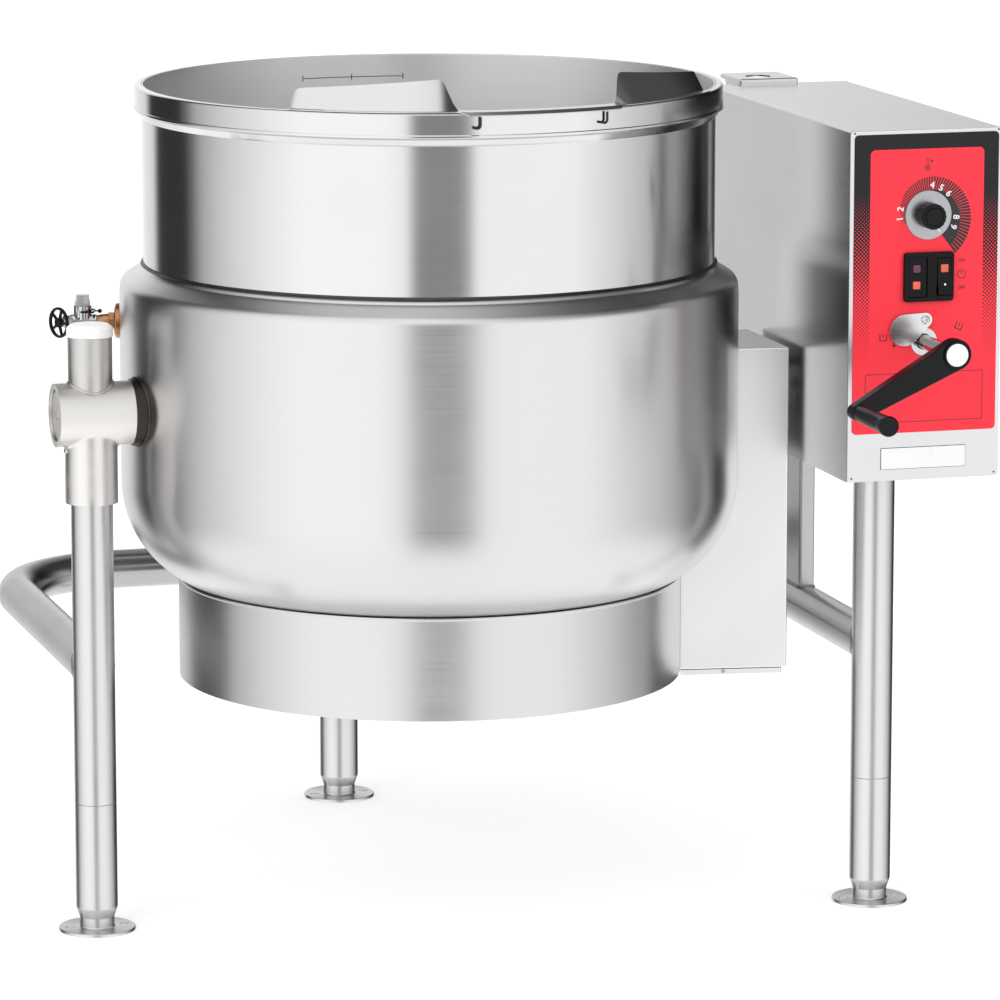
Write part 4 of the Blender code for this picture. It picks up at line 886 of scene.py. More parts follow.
def cover_outline(inset, right_inset, bend):
    """The wiring cover seen from above. Its front slants back towards the kettle."""
    inner = 240 * MM
    right = COVER_HIGH.x - right_inset
    back = COVER_HIGH.y - inset
    front = COVER_LOW.y + inset
    slant = (COVER_HIGH.x - inner) * COVER_SLANT
    corners = [(inner, front + slant), (right, front + right_inset * COVER_SLANT, bend)]
    corners += [(right, back, bend), (inner, back)]
    return eased(corners)


def wiring_cover(sides, bend):
    low = COVER_LOW.z
    piece = plate(cover_outline(0, 0, bend), low, COVER_HIGH.z)
    soften(piece, 1.8 * MM, 3, 60)
    hollow = plate(cover_outline(SHEET, SHEET, bend - SHEET), low - 20 * MM, COVER_HIGH.z - SHEET)
    hole = rod(31 * MM, COVER_HIGH.x - 10 * MM, COVER_HIGH.x + 10 * MM, AXLE, RIGHT)
    return carve(piece, hollow, hole, kettle_tool(GAP, sides))


def cover_pan(sides, bend):
    low, top = PAN_LOW.z, PAN_HIGH.z
    inset = COVER_HIGH.x - PAN_HIGH.x
    piece = plate(cover_outline(0, inset, bend), low, top)
    hollow = plate(cover_outline(SHEET, inset + SHEET, bend - SHEET), low - PAST, top - SHEET)
    return carve(piece, hollow, kettle_tool(GAP, sides))


def screw(at, axis, radius, high, cross=True):
    """A pan head screw with a cross recess."""
    corners = [(0, -0.2 * MM), (radius, -0.2 * MM), (radius, high * 0.35, radius * 0.12)]
    corners += [(radius * 0.72, high * 0.9, radius * 0.3), (0, high)]
    head = turned(eased(corners, 3), at, axis, 24)
    if cross:
        place = Matrix.Translation(at) @ axis.to_track_quat("Z", "Y").to_matrix().to_4x4()
        for wide, tall in ((1.1, 0.26), (0.26, 1.1)):
            slot = plate(rectangle(radius * wide, radius * tall, radius * 0.1, 2), high * 0.45,
                         high * 2, place)
            carve(head, slot)
    return head


def facing(at):
    """A place on a face that looks to the front: x to the right, y up, z out of the face."""
    return Matrix.Translation(at) @ Matrix.Rotation(pi / 2, 4, "X")


def on_panel(across, down, y=0.0):
    """A point of the console's face, from its left edge and its top edge in millimetres."""
    return Vector((BOX_LOW.x + across * MM, y, BOX_HIGH.z - down * MM))


def two_circles(near_r, far_r, reach_out, angle, steps=14):
    """The outline round two circles whose centres lie reach_out apart, at an angle."""
    lean = acos((near_r - far_r) / reach_out)
    near = arc((0, 0), near_r, angle + lean, angle + 2 * pi - lean, steps * 2)
    centre = (reach_out * cos(angle), reach_out * sin(angle))
    return near + arc(centre, far_r, angle - lean, angle + lean, steps)


def outward(turn):
    """A level direction to the left of the kettle, turned towards the front."""
    return Vector((-cos(turn), -sin(turn), 0))


def valve_point(out):
    """A point of the valve's level axis."""
    return outward(-VALVE_TURN) * out + UP * VALVE_Z


def brass_fitting(sides):
    """A flanged brass fitting with a hexagon, screwed into the jacket."""
    axis = outward(-VALVE_TURN)
    face = JACKET_R + 6.5 * MM
    tip = JACKET_R + BODY_OUT - GAP
    centre = UP * VALVE_Z
    corners = [(0, face - 26 * MM), (20.5 * MM, face - 26 * MM), (20.5 * MM, face - 2 * MM, 1 * MM)]
    corners += [(16 * MM, face, 2 * MM), (9 * MM, face, 1 * MM), (8 * MM, face + 12 * MM, 1 * MM)]
    corners += [(6.6 * MM, tip, 0.6 * MM), (0, tip)]
    piece = turned(eased(corners, 3), centre, axis)
    nut = rod(10.5 * MM, face - 1 * MM, face + 7 * MM, centre, axis, 0.6 * MM, 6)
    carve(piece, nut, how="UNION")
    return carve(piece, kettle_tool(GAP, sides))


def relief_valve():
    """A chromed body with an upright neck and a branch for the vent."""
    axis = outward(-VALVE_TURN)
    start = JACKET_R + BODY_OUT
    piece = rod(7.5 * MM, start, start + 31 * MM, UP * VALVE_Z, axis, 0.6 * MM)
    neck = rod(10.5 * MM, 2 * MM, 18 * MM, valve_point(JACKET_R + NECK_OUT), UP, 0.6 * MM)
    corners = [(0, 0), (5 * MM, 0), (5 * MM, 8 * MM, 0.5 * MM), (7.5 * MM, 9 * MM, 0.6 * MM)]
    corners += [(7.5 * MM, 15 * MM, 0.6 * MM), (5 * MM, 16 * MM, 0.5 * MM), (5 * MM, 20 * MM, 0.5 * MM)]
    corners += [(0, 20 * MM)]
    branch = turned(eased(corners, 2), valve_point(JACKET_R + BRANCH_OUT), outward(VENT_TURN))
    return carve(piece, neck, branch, how="UNION")


def valve_cap():
    """A square head over a wider square collar."""
    place = Matrix.Translation(valve_point(JACKET_R + NECK_OUT)) @ Matrix.Rotation(-VALVE_TURN, 4, "Z")
    low = 18 * MM + GAP
    collar = plate(rectangle(17.6 * MM, 17.6 * MM, 1.5 * MM, 3), low, low + 5.6 * MM, place, 0.5 * MM)
    head = plate(rectangle(15 * MM, 15 * MM, 1.2 * MM, 3), low + 5 * MM, low + 12.7 * MM, place, 0.6 * MM)
    return carve(collar, head, how="UNION")


def valve_lever():
    """A lift lever: a yoke round the neck and a rod with a ball on it."""
    at = valve_point(JACKET_R + NECK_OUT)
    place = Matrix.Translation(at) @ Matrix.Rotation(-VALVE_TURN, 4, "Z")
    up = 11.5 * MM
    inner = 10.5 * MM + GAP
    outer = inner + 1.8 * MM
    bar = 12 * MM
    yoke = [(-2 * MM, -outer), (bar + 2.2 * MM, -outer), (bar + 2.2 * MM, outer), (-2 * MM, outer)]
    yoke += [(-2 * MM, inner), (bar, inner), (bar, -inner), (-2 * MM, -inner)]
    piece = plate(yoke, up - 1.1 * MM, up + 1.1 * MM, place, 0.3 * MM)
    tip = bar + 8 * MM
    corners = [(0, bar + 1 * MM), (0.9 * MM, bar + 1 * MM), (0.9 * MM, tip - 2.6 * MM)]
    ball = [(2.6 * MM * cos(t), tip + 2.6 * MM * sin(t)) for t in (-1.1, -0.7, -0.3, 0.1, 0.5, 0.9, 1.3)]
    outline = [Vector(point) for point in corners + ball] + [Vector((0, tip + 2.6 * MM))]
    way = -outward(-VALVE_TURN)
    return carve(piece, turned(outline, at + UP * up, way, 24), how="UNION")


def vent_wheel():
    """A small moulded hand wheel with five spokes."""
    axis = outward(VENT_TURN)
    centre = valve_point(JACKET_R + BRANCH_OUT)
    low = 20 * MM + GAP + 1.2 * MM
    wheel_low, wheel_high = reach("vent_wheel")
    rim_r = (wheel_high.z - wheel_low.z) / 2
    corners = [(rim_r - 3 * MM, low, 1 * MM), (rim_r, low + 1 * MM, 1 * MM)]
    corners += [(rim_r, low + 4 * MM, 1 * MM), (rim_r - 3 * MM, low + 5 * MM, 1 * MM)]
    rim = turned(eased(corners, 3), centre, axis, closed=True)
    hub = [(0, low - 1.2 * MM), (5.5 * MM, low - 1.2 * MM, 0.5 * MM), (5.5 * MM, low + 5 * MM, 0.8 * MM)]
    hub += [(3 * MM, low + 5.8 * MM, 0.5 * MM), (0, low + 5.8 * MM)]
    turn = axis.to_track_quat("Z", "Y").to_matrix().to_4x4()
    place = Matrix.Translation(centre) @ turn
    tip = rim_r - 1.6 * MM
    arm = [(4 * MM, -1.6 * MM), (tip, -1.1 * MM), (tip, 1.1 * MM), (4 * MM, 1.6 * MM)]
    spoke = plate(arm, low + 0.8 * MM, low + 3.6 * MM, place, 0.3 * MM)
    spokes = spun_copies(spoke, 5, centre, axis)
    return carve(rim, turned(eased(hub, 3), centre, axis, 32), spokes, how="UNION")


# Standing frame
def standing(leg):
    """The foot of a leg's middle line."""
    return Vector((LEGS[leg].x, LEGS[leg].y, 0))


def bearing_housing():
    """A cast tee, its level barrel blended into the sleeve that stands on the leg."""
    spare = 4 * MM
    barrel = rod(BARREL_R, BARREL[0] - spare, BARREL[1] + spare, AXLE, RIGHT, sides=96)
    sleeve = rod(SLEEVE_R, SLEEVE_BOTTOM_Z - spare, TILT.z, standing("left"), UP, sides=96)
    carve(barrel, sleeve, how="UNION")
    # The corner where barrel and sleeve meet becomes a round one, as in a casting
    change(barrel, "REMESH", mode="VOXEL", voxel_size=1.3 * MM)
    change(barrel, "SMOOTH", factor=0.5, iterations=14)
    wide = Vector((60, 60, 60)) * MM
    flat = Vector((0, 60, 60)) * MM
    near, far = Vector((BARREL[0], TILT.y, TILT.z)), Vector((BARREL[1], TILT.y, TILT.z))
    left = block(near - Vector((120, 60, 60)) * MM, near + flat)
    right = block(far - flat, far + wide)
    foot = standing("left") + UP * SLEEVE_BOTTOM_Z
    below = block(foot - wide, foot + Vector((60, 60, 0)) * MM)
    bore = rod(30 * MM, BARREL[0] - PAST, BARREL[1] + PAST, AXLE, RIGHT, sides=96)
    leg_top = 560 * MM
    socket = rod(TUBE_R + GAP, SLEEVE_BOTTOM_Z - PAST, leg_top, standing("left"), UP, sides=96)
    return carve(barrel, left, right, below, bore, socket)


def bearing_cap():
    """The disc that closes the bearing, with a slot in it."""
    low = BARREL[0] + 2.5 * MM
    piece = rod(28.4 * MM, low, low + 5.5 * MM, AXLE, RIGHT, 0.7 * MM, 96)
    half = Vector((4, 9, 5)) * MM
    at = Vector((low - 1.5 * MM, TILT.y, TILT.z))
    return carve(piece, block(at - half, at + half, 0.6 * MM, 2))


def sleeve_screw():
    """The small screw that locks the sleeve on its leg, seen at the sleeve's left edge."""
    axis = Vector((-1, -0.15, 0)).normalized()
    at = standing("left") + axis * SLEEVE_R + UP * (TILT.z - BARREL_R - 4 * MM)
    return screw(at, axis, 3.4 * MM, 2.6 * MM)


def post_tube():
    top = POST_TOP_Z + CAP_SEAT
    tube = pipe(POST_R, POST_R - 3 * MM, TILT.z + 5 * MM, top, standing("left"), UP)
    return carve(tube, rod(BARREL_R + GAP, BARREL[0] - 20 * MM, BARREL[1] + 20 * MM, AXLE, RIGHT))


def post_weld(bead):
    """The weld where the post stands on the round of the barrel."""
    points = []
    for x, y in ring_points(POST_R + 0.4 * MM):
        z = TILT.z + sqrt((BARREL_R + 0.6 * MM) ** 2 - y**2)
        points.append(standing("left") + Vector((x, y, z)))
    return wire(points, bead, closed=True)


def white_cap():
    low = POST_TOP_Z + CAP_SEAT + GAP
    top = CAP_TOP_Z
    plug = POST_R - 3 * MM - 2 * GAP
    wide = (reach("post_cap")[1].x - reach("post_cap")[0].x) / 2
    corners = [(0, low - 12 * MM), (plug, low - 12 * MM, 0.5 * MM), (plug, low)]
    corners += [(wide, low, 0.6 * MM), (wide - 0.2 * MM, top - 4 * MM, 2 * MM)]
    corners += [(wide - 5 * MM, top, 5 * MM), (0, top)]
    return turned(eased(corners, 5), standing("left"), UP, 64)


def foot(leg):
    """A levelling foot: a drilled flange, a neck that widens to the tube, and a stem above."""
    stem = TUBE_R - TUBE_WALL - 0.5 * MM
    seam = SEAM_Z - GAP
    corners = [(0, 0), (FOOT_R, 0, 0.8 * MM), (FOOT_R, 4 * MM, 1 * MM), (20 * MM, 4 * MM, 2 * MM)]
    corners += [(20 * MM, 16 * MM, 2 * MM), (TUBE_R, 28 * MM, 5 * MM), (TUBE_R, seam, 0.5 * MM)]
    corners += [(stem, seam), (stem, seam + 60 * MM, 0.8 * MM), (0, seam + 60 * MM)]
    piece = turned(eased(corners), standing(leg), UP)
    for bolt in (-32 * MM, 32 * MM):
        carve(piece, rod(5.5 * MM, -5 * MM, PAST, standing(leg) + RIGHT * bolt))
    return piece


def rail(sides):
    """One tube bent round the back, cut to sit on the left and right legs."""
    left, right = standing("left"), standing("right")
    turn_y = RAIL_BACK_Y - RAIL_BEND_R
    clear()
    start = Vector((left.x, left.y + 10 * MM, RAIL_Z))
    bpy.ops.mesh.primitive_circle_add(vertices=sides, radius=TUBE_R, location=start,
                                      rotation=(pi / 2, 0, 0))
    piece = bpy.context.object
    settle()
    edit_all()
    steps = [Vector((0, turn_y - start.y, 0)), Vector((right.x - left.x - 2 * RAIL_BEND_R, 0, 0))]
    centres = [Vector((x, turn_y, RAIL_Z)) for x in (left.x + RAIL_BEND_R, right.x - RAIL_BEND_R)]
    for step, centre in zip(steps, centres):
        bpy.ops.mesh.extrude_region_move(TRANSFORM_OT_translate={"value": step})
        bpy.ops.mesh.spin(steps=22, angle=pi / 2, center=centre, axis=UP)
    down = Vector((0, right.y + 10 * MM - turn_y, 0))
    bpy.ops.mesh.extrude_region_move(TRANSFORM_OT_translate={"value": down})
    mend()
    change(piece, "SOLIDIFY", thickness=TUBE_WALL, offset=-1)
    for leg in (left, right):
        carve(piece, rod(TUBE_R + GAP, RAIL_Z - 50 * MM, RAIL_Z + 50 * MM, leg))
    return piece


def on_tube(across):
    """How high a bead lies on a tube, at a distance across from the tube's middle line."""
    return sqrt((TUBE_R + 0.7 * MM) ** 2 - across**2)


def rail_weld(leg, bead):
    """The weld where the rail meets the back of a leg."""
    points = [standing(leg) + Vector((across, on_tube(across), RAIL_Z + up))
              for across, up in ring_points(TUBE_R + 0.3 * MM)]
    return wire(points, bead, closed=True)


def rear_leg():
    piece = pipe(TUBE_R, TUBE_R - TUBE_WALL, SEAM_Z, RAIL_Z, standing("rear"), UP)
    at = Vector((0, LEGS["rear"].y, RAIL_Z))
    near = LEGS["rear"].x
    return carve(piece, rod(TUBE_R + GAP, near - 60 * MM, near + 60 * MM, at, RIGHT))


def rear_weld(bead):
    """The weld where the rear leg meets the rail from below."""
    points = [standing("rear") + Vector((x, y, RAIL_Z - on_tube(y)))
              for x, y in ring_points(TUBE_R + 0.3 * MM)]
    return wire(points, bead, closed=True)


def rear_post():
    """A flat tube that stands on the rail under the console."""
    low, high = POST_LOW, POST_HIGH
    wide = high - low
    place = Matrix.Translation(Vector(((low.x + high.x) / 2, (low.y + high.y) / 2, 0)))
    piece = plate(rectangle(wide.x, wide.y, 3 * MM), RAIL_Z, high.z, place)
    inside = rectangle(wide.x - 4 * MM, wide.y - 4 * MM, 1 * MM)
    carve(piece, plate(inside, RAIL_Z - PAST, high.z + PAST, place))
    at = Vector((LEGS["right"].x, 0, RAIL_Z))
    return carve(piece, rod(TUBE_R + GAP, low.y - 20 * MM, high.y + 20 * MM, at, -FRONT))


def rear_post_weld(bead):
    wide = POST_HIGH - POST_LOW
    centre = (POST_HIGH + POST_LOW) / 2
    outline = rectangle(wide.x + 0.6 * MM, wide.y + 0.6 * MM, 3 * MM)
    points = [Vector((centre.x + x, centre.y + y, RAIL_Z + on_tube(x))) for x, y in outline]
    return wire(points, bead, closed=True)


# Console
def console_housing(bend):
    """One sheet folded down both sides, with a hole for the hollow trunnion."""
    left, right = BOX_LOW.x, BOX_HIGH.x
    base, top = BOX_LOW.z, BOX_HIGH.z
    inner = bend - SHEET
    corners = [(left, base), (left + SHEET, base), (left + SHEET, top - SHEET, inner)]
    corners += [(right - SHEET, top - SHEET, inner), (right - SHEET, base), (right, base)]
    corners += [(right, top, bend), (left, top, bend)]
    piece = plate(eased(corners), -BOX_HIGH.y, -BOX_LOW.y, facing(Vector()))
    hole = rod(33 * MM, left - PAST, left + PAST, AXLE, RIGHT)
    return carve(piece, hole)


def console_base():
    low, high = reach("console_base")
    piece = block(low, high, 0.3 * MM, 1)
    return carve(piece, rod(TUBE_R + GAP, low.z - PAST, high.z + PAST, standing("right")))


def console_back():
    low, high = reach("console_back")
    return block(low, high, 0.4 * MM, 2)


def back_screws():
    """Six screws that hold the back sheet, modelled once and copied."""
    low, high = reach("console_back")
    inset = 9 * MM
    first = screw(Vector((low.x + inset, high.y, low.z + inset)), -FRONT, 4 * MM, 2.4 * MM)
    wide = high.x - low.x - 2 * inset
    tall = high.z - low.z - 2 * inset
    steps = [Vector((wide, 0, 0)), Vector((0, 0, tall)), Vector((wide, 0, tall))]
    steps += [Vector((0, 0, tall / 2)), Vector((wide, 0, tall / 2))]
    return copied(first, steps)


def spout_bracket(bend):
    """A folded bracket behind the console, with a round hole in its top."""
    low, high = BRACKET_LOW, BRACKET_HIGH
    wall = 2 * MM
    top = BOX_HIGH.z
    piece = block(low, high)
    soften(piece, bend, 3, 60)
    inside = block(Vector((low.x + wall, low.y + wall, low.z - 20 * MM)),
                   Vector((high.x - wall, high.y + PAST, high.z - wall)))
    slope = [(low.y + 14 * MM, low.z - 20 * MM), (high.y + PAST, low.z - 20 * MM)]
    slope += [(high.y + PAST, top), (high.y - 20 * MM, top)]
    wedge = plate(slope, low.x - PAST, high.x + PAST, SIDEWAYS)
    faucet = Vector((493 * MM, BOX_HIGH.y + 32.5 * MM, 0))
    return carve(piece, inside, wedge, rod(16 * MM, high.z - PAST, high.z + PAST, faucet))


def panel_holes():
    """The tools that cut the crank's, the knob's and the switch's openings."""
    near, far = -FACE_Y - 20 * MM, -FACE_Y + PAST
    wide, high = SWITCH_HIGH.x - SWITCH_LOW.x - 3 * MM, SWITCH_HIGH.z - SWITCH_LOW.z - 3 * MM
    switch = facing(SWITCH)
    return (rod(16.5 * MM, near, far, CRANK, FRONT),
            rod(5 * MM, near, far, KNOB, FRONT),
            plate(rectangle(wide, high, 2 * MM, 2), near, far, switch))


def face_sheet(node, corner, edge):
    """A flat sheet on the console's face, with the openings cut in it."""
    low, high = reach(node)
    outline = rectangle(high.x - low.x, high.z - low.z, corner)
    piece = plate(outline, -high.y, -low.y, facing(in_plane((low + high) / 2)), edge)
    return carve(piece, *panel_holes())


def printed(outline, at, level):
    """A flat of ink on the film. Each level lies on the one before it."""
    low = -FACE_Y + level * INK
    return plate(outline, low, low + INK, facing(at))


def strip(radius, wide, start, end, steps=24):
    """The outline of a bent strip round the origin."""
    outer = arc((0, 0), radius + wide / 2, start, end, steps)
    return outer + arc((0, 0), radius - wide / 2, end, start, steps)


def red_field():
    """The plain red middle of the film, which runs down to its bottom edge."""
    corners = [(24, 347, 4.5), (24, 21.6, 6), (161, 21.6, 6), (161, 347, 4.5)]
    outline = eased([(x * MM, -y * MM, r * MM) for x, y, r in corners], 6)
    return carve(printed(outline, on_panel(0, 0), 0), *panel_holes())


def dial_fan(marks):
    """Lines round the dial that grow clockwise and run together in a solid band."""
    pitch = (DIAL_END - DIAL_START) / marks
    outline = []
    for i in range(marks):
        share = i / (marks - 1)
        wide = 0.45 + 0.37 * share
        base = DIAL_R + (0.4 + 16 * max(0.0, (share - 0.45) / 0.55)) * MM
        tip = (29 + 27 * share**0.75) * MM
        middle = DIAL_START + pitch * (i + 0.5)
        for radius, side in ((base, -1), (tip, -1), (tip, 1), (base, 1)):
            turn = middle + side * pitch * wide / 2
            outline.append((radius * cos(turn), radius * sin(turn)))
    outline += arc((0, 0), DIAL_R - 1 * MM, DIAL_END, DIAL_START, 60)
    return printed(outline, KNOB, 1)


def lettering(text, size, at, turn, level):
    """Generic figures in the panel's ink: text made mesh, then laid on the film."""
    clear()
    bpy.ops.object.text_add(location=(0, 0, 0))
    words = bpy.context.object
    words.data.body = text
    words.data.size = size
    words.data.align_x = "CENTER"
    words.data.align_y = "CENTER"
    words.data.extrude = INK / 2
    words.data.offset = size * 0.022
    words.data.resolution_u = 3
    bpy.ops.object.convert(target="MESH")
    piece = bpy.context.object
    lift = Matrix.Translation(Vector((0, 0, -FACE_Y + (level + 0.5) * INK)))
    piece.matrix_world = facing(at) @ lift @ Matrix.Rotation(turn, 4, "Z")
    settle()
    bpy.ops.object.mode_set(mode="EDIT")
    return mend()


def dial_figures():
    """Plain numbers round the dial, standing on its arc."""
    made = []
    for figure, degrees in (("1", 186), ("2", 167), ("4", 82), ("5", 63), ("6", 44), ("8", -6), ("9", -25)):
        turn = radians(degrees)
        at = Vector((KNOB.x + 34 * MM * cos(turn), 0, KNOB.z + 34 * MM * sin(turn)))
        made.append(lettering(figure, 10.5 * MM, at, turn - pi / 2, 2))
    return joined(made)


def panel_marks():
    """The thermometer, the switch's words, the power sign, the box and the signs by the crank."""
    place = on_panel(92.6, 39.5)
    made = [printed(strip(3.1 * MM, 0.8 * MM, radians(-245), radians(65)), place - UP * 4 * MM, 1)]
    made.append(printed(arc((0, 0), 1.4 * MM, 0, 2 * pi, 20)[:-1], place - UP * 4 * MM, 1))
    stem = [(-1.5, -2), (-0.8, -2), (-0.8, 6.4), (0.8, 6.4)]
    stem += [(0.8, -2), (1.5, -2), (1.5, 7.2), (-1.5, 7.2)]
    made.append(printed([(x * MM, y * MM) for x, y in stem], place, 1))
    made.append(printed([(4 * MM, 1.4 * MM), (7 * MM, 3.6 * MM), (4 * MM, 5.8 * MM)], place, 1))
    power = on_panel(135.3, 166.6)
    made.append(printed(strip(4.9 * MM, 1.0 * MM, radians(118), radians(422), 32), power, 1))
    made.append(printed(rectangle(1.1 * MM, 5.4 * MM, 0.2 * MM, 1), power + UP * 3.2 * MM, 1))
    made.append(lettering("ON", 5.0 * MM, on_panel(135.3, 150.9), 0.0, 1))
    made.append(lettering("OFF", 5.0 * MM, on_panel(135.3, 182.2), 0.0, 1))
    made += box_lines(on_panel(91.4, 306.6), 142 * MM, 56 * MM, 0.7 * MM)
    made += turning_signs()
    return joined(made)


def box_lines(centre, wide, high, thick):
    """A thin printed frame of four strips."""
    made = []
    for side in (-1, 1):
        level = rectangle(wide, thick, thick * 0.1, 1)
        made.append(printed(level, centre + UP * side * high / 2, 1))
        upright = rectangle(thick, high - thick * 1.2, thick * 0.1, 1)
        made.append(printed(upright, centre + RIGHT * side * wide / 2, 1))
    return made


def turning_signs():
    """Signs beside the crank: a kettle level with an arrow down, and one tilted."""
    made = []
    for at, turn in ((on_panel(41.5, 236), 0.0), (on_panel(133, 226), radians(-24))):
        spin = Matrix.Rotation(turn, 2)
        for x, y, wide, high in ((0, -4, 9, 1.1), (-4, 0, 1.1, 8), (4, 0, 1.1, 8), (0, 1.2, 1.1, 5)):
            shape = rectangle(wide * MM, high * MM, 0.2 * MM, 1)
            shape = [spin @ (point + Vector((x, y)) * MM) for point in shape]
            made.append(printed(shape, at, 1))
    shaft = [(-0.6, 1), (-0.6, 7), (0.6, 7), (0.6, 1), (2.4, 1), (0, -3), (-2.4, 1)]
    made.append(printed([(x * MM, y * MM) for x, y in shaft], on_panel(54.5, 246), 1))
    return made


def plate_place():
    """The middle of the blank plate, below the film."""
    return facing((on_panel(40.8, 364.5) + on_panel(142.8, 389)) / 2)


def blank_plate():
    """A blank lacquered plate."""
    low = -PLATE_LOW.y + PLATE_EDGE_RISE
    outline = rectangle(102 * MM, 24 * MM, 0.8 * MM, 3)
    return plate(outline, low, low + 0.9 * MM, plate_place(), 0.25 * MM)


def blank_plate_edge():
    """A thin dark line of sealant under the blank plate, seen round it."""
    low = -PLATE_LOW.y
    outline = rectangle(103.2 * MM, 25.2 * MM, 1.2 * MM, 3)
    return plate(outline, low, low + PLATE_EDGE_RISE, plate_place(), 0.1 * MM)


def corner_rivets():
    low = -PLATE_LOW.y
    first, *others = [on_panel(across, down) for down in (2.3, 398) for across in (5.2, 178.6)]
    head = rod(1.1 * MM, low - 0.1 * MM, low + 0.5 * MM, first, FRONT, 0.25 * MM, 16)
    return copied(head, [place - first for place in others])


def switch_bezel():
    """A moulded bezel with its body behind, cut for the lamp window and the rocker."""
    seat = -FACE_Y + GAP
    front = -BEZEL_FRONT_Y
    wide, high = SWITCH_HIGH.x - SWITCH_LOW.x, SWITCH_HIGH.z - SWITCH_LOW.z
    place = facing(SWITCH)
    piece = plate(rectangle(wide, high, 4 * MM), seat, front, place, 0.9 * MM)
    body = rectangle(wide - 4 * MM, high - 4 * MM, 2 * MM, 2)
    carve(piece, plate(body, seat - 22 * MM, seat + 1 * MM, place), how="UNION")
    lamps = place @ Matrix.Translation((-LAMPS_LEFT, 0, 0))
    press = place @ Matrix.Translation((ROCKER_RIGHT, 0, 0))
    window = plate(rectangle(25 * MM, 47 * MM, 2 * MM, 3), seat - 6 * MM, front + 5 * MM, lamps)
    slot = plate(rectangle(18 * MM, 44 * MM, 0.6 * MM, 2), seat - 16 * MM, front + 5 * MM, press)
    return carve(piece, window, slot)


def lamp_window():
    seat = -FACE_Y + GAP
    front = -BEZEL_FRONT_Y
    place = facing(Vector((SWITCH.x - LAMPS_LEFT, 0, SWITCH.z)))
    outline = rectangle(24.4 * MM, 46.4 * MM, 1.8 * MM, 3)
    piece = plate(outline, seat - 5.7 * MM, front - 2 * MM, place, 0.4 * MM)
    for side in (-1, 1):
        hole = rectangle(9.6 * MM, 9.6 * MM, 1 * MM, 2)
        at = place @ Matrix.Translation((0, side * LAMP_RISE, 0))
        carve(piece, plate(hole, front - 4.3 * MM, front + 2 * MM, at))
    return piece


def lamp(side):
    """A square lens with softened edges."""
    front = -BEZEL_FRONT_Y
    place = facing(Vector((SWITCH.x - LAMPS_LEFT, 0, SWITCH.z + side * LAMP_RISE)))
    return plate(rectangle(9 * MM, 9 * MM, 1 * MM, 2), front - 4 * MM, front - 1.4 * MM, place, 0.8 * MM)


def rocker_place():
    at = facing(Vector((SWITCH.x + ROCKER_RIGHT, FACE_Y - 1 * MM, SWITCH.z)))
    return at @ Matrix.Rotation(radians(-6), 4, "X")


def rocker():
    """A rocker of shallow V section, its top half pressed in."""
    half = 21.1 * MM
    crest = ROCKER_TOP + 1.6 * MM
    outline = [(-half, 1 * MM), (-half, crest, 0.8 * MM), (0, ROCKER_TOP - 0.6 * MM, 20 * MM)]
    outline += [(half, crest, 0.8 * MM), (half, 1 * MM), (6 * MM, -8 * MM), (-6 * MM, -8 * MM)]
    piece = plate(eased(outline, 4), -8.5 * MM, 8.5 * MM, rocker_place() @ SIDEWAYS)
    return soften(piece, 0.5 * MM, 2, 50)


def on_rocker(up, lean):
    """A place on one of the rocker's two slopes."""
    slope = Matrix.Rotation(radians(lean), 4, "X")
    return rocker_place() @ Matrix.Translation((0, up, ROCKER_TOP)) @ slope


def rocker_lens():
    outline = rectangle(9 * MM, 9 * MM, 0.8 * MM, 2)
    return plate(outline, -1 * MM, 0.7 * MM, on_rocker(9 * MM, 5.5), 0.3 * MM)


def rocker_dot():
    return plate(arc((0, 0), 1.3 * MM, 0, 2 * pi, 16)[:-1], -0.5 * MM, 0.5 * MM, on_rocker(-9.5 * MM, -5.5))


def knob_dial():
    """A spun disc with a hub behind it."""
    seat = -FACE_Y + GAP
    corners = [(0, seat - 16 * MM), (3 * MM, seat - 16 * MM), (3 * MM, seat), (DIAL_R, seat)]
    corners += [(DIAL_R, seat + 0.7 * MM), (DIAL_R - 1 * MM, seat + 1.2 * MM), (0, seat + 1.2 * MM)]
    outline = [Vector(point) for point in corners]
    return turned(outline, KNOB, FRONT, 96)


def knob_mark():
    """The white pointer on the disc, turned to the end of the fan."""
    low = -FACE_Y + GAP + 1.2 * MM
    place = facing(KNOB) @ Matrix.Rotation(DIAL_END, 4, "Z")
    shape = [(18.5 * MM, -1.6 * MM), (26.5 * MM, 0), (18.5 * MM, 1.6 * MM)]
    return plate(shape, low, low + INK, place)


def knob(flutes=18):
    """A fluted grip with a raised ring and a plain round top."""
    low = -FACE_Y + 1.5 * MM + GAP
    outline = []
    for i in range(flutes * 6):
        turn = 2 * pi * i / (flutes * 6)
        radius = 15 * MM - 0.2 * MM * (1 - cos(turn * flutes))
        outline.append((radius * cos(turn), radius * sin(turn)))
    piece = plate(outline, low, low + 18.6 * MM, facing(KNOB), 0.9 * MM)
    ring = [(10.6 * MM, low + 17 * MM), (12.9 * MM, low + 17 * MM), (12.9 * MM, low + 19.4 * MM, 0.5 * MM)]
    ring += [(10.6 * MM, low + 19.4 * MM, 0.5 * MM)]
    top = rod(9.9 * MM, low + 17 * MM, low + 20 * MM, KNOB, FRONT, 0.9 * MM, 64)
    return joined([piece, turned(eased(ring, 3), KNOB, FRONT, 64, closed=True), top])


def flap_pivot():
    return on_panel(91.4, 217.4)


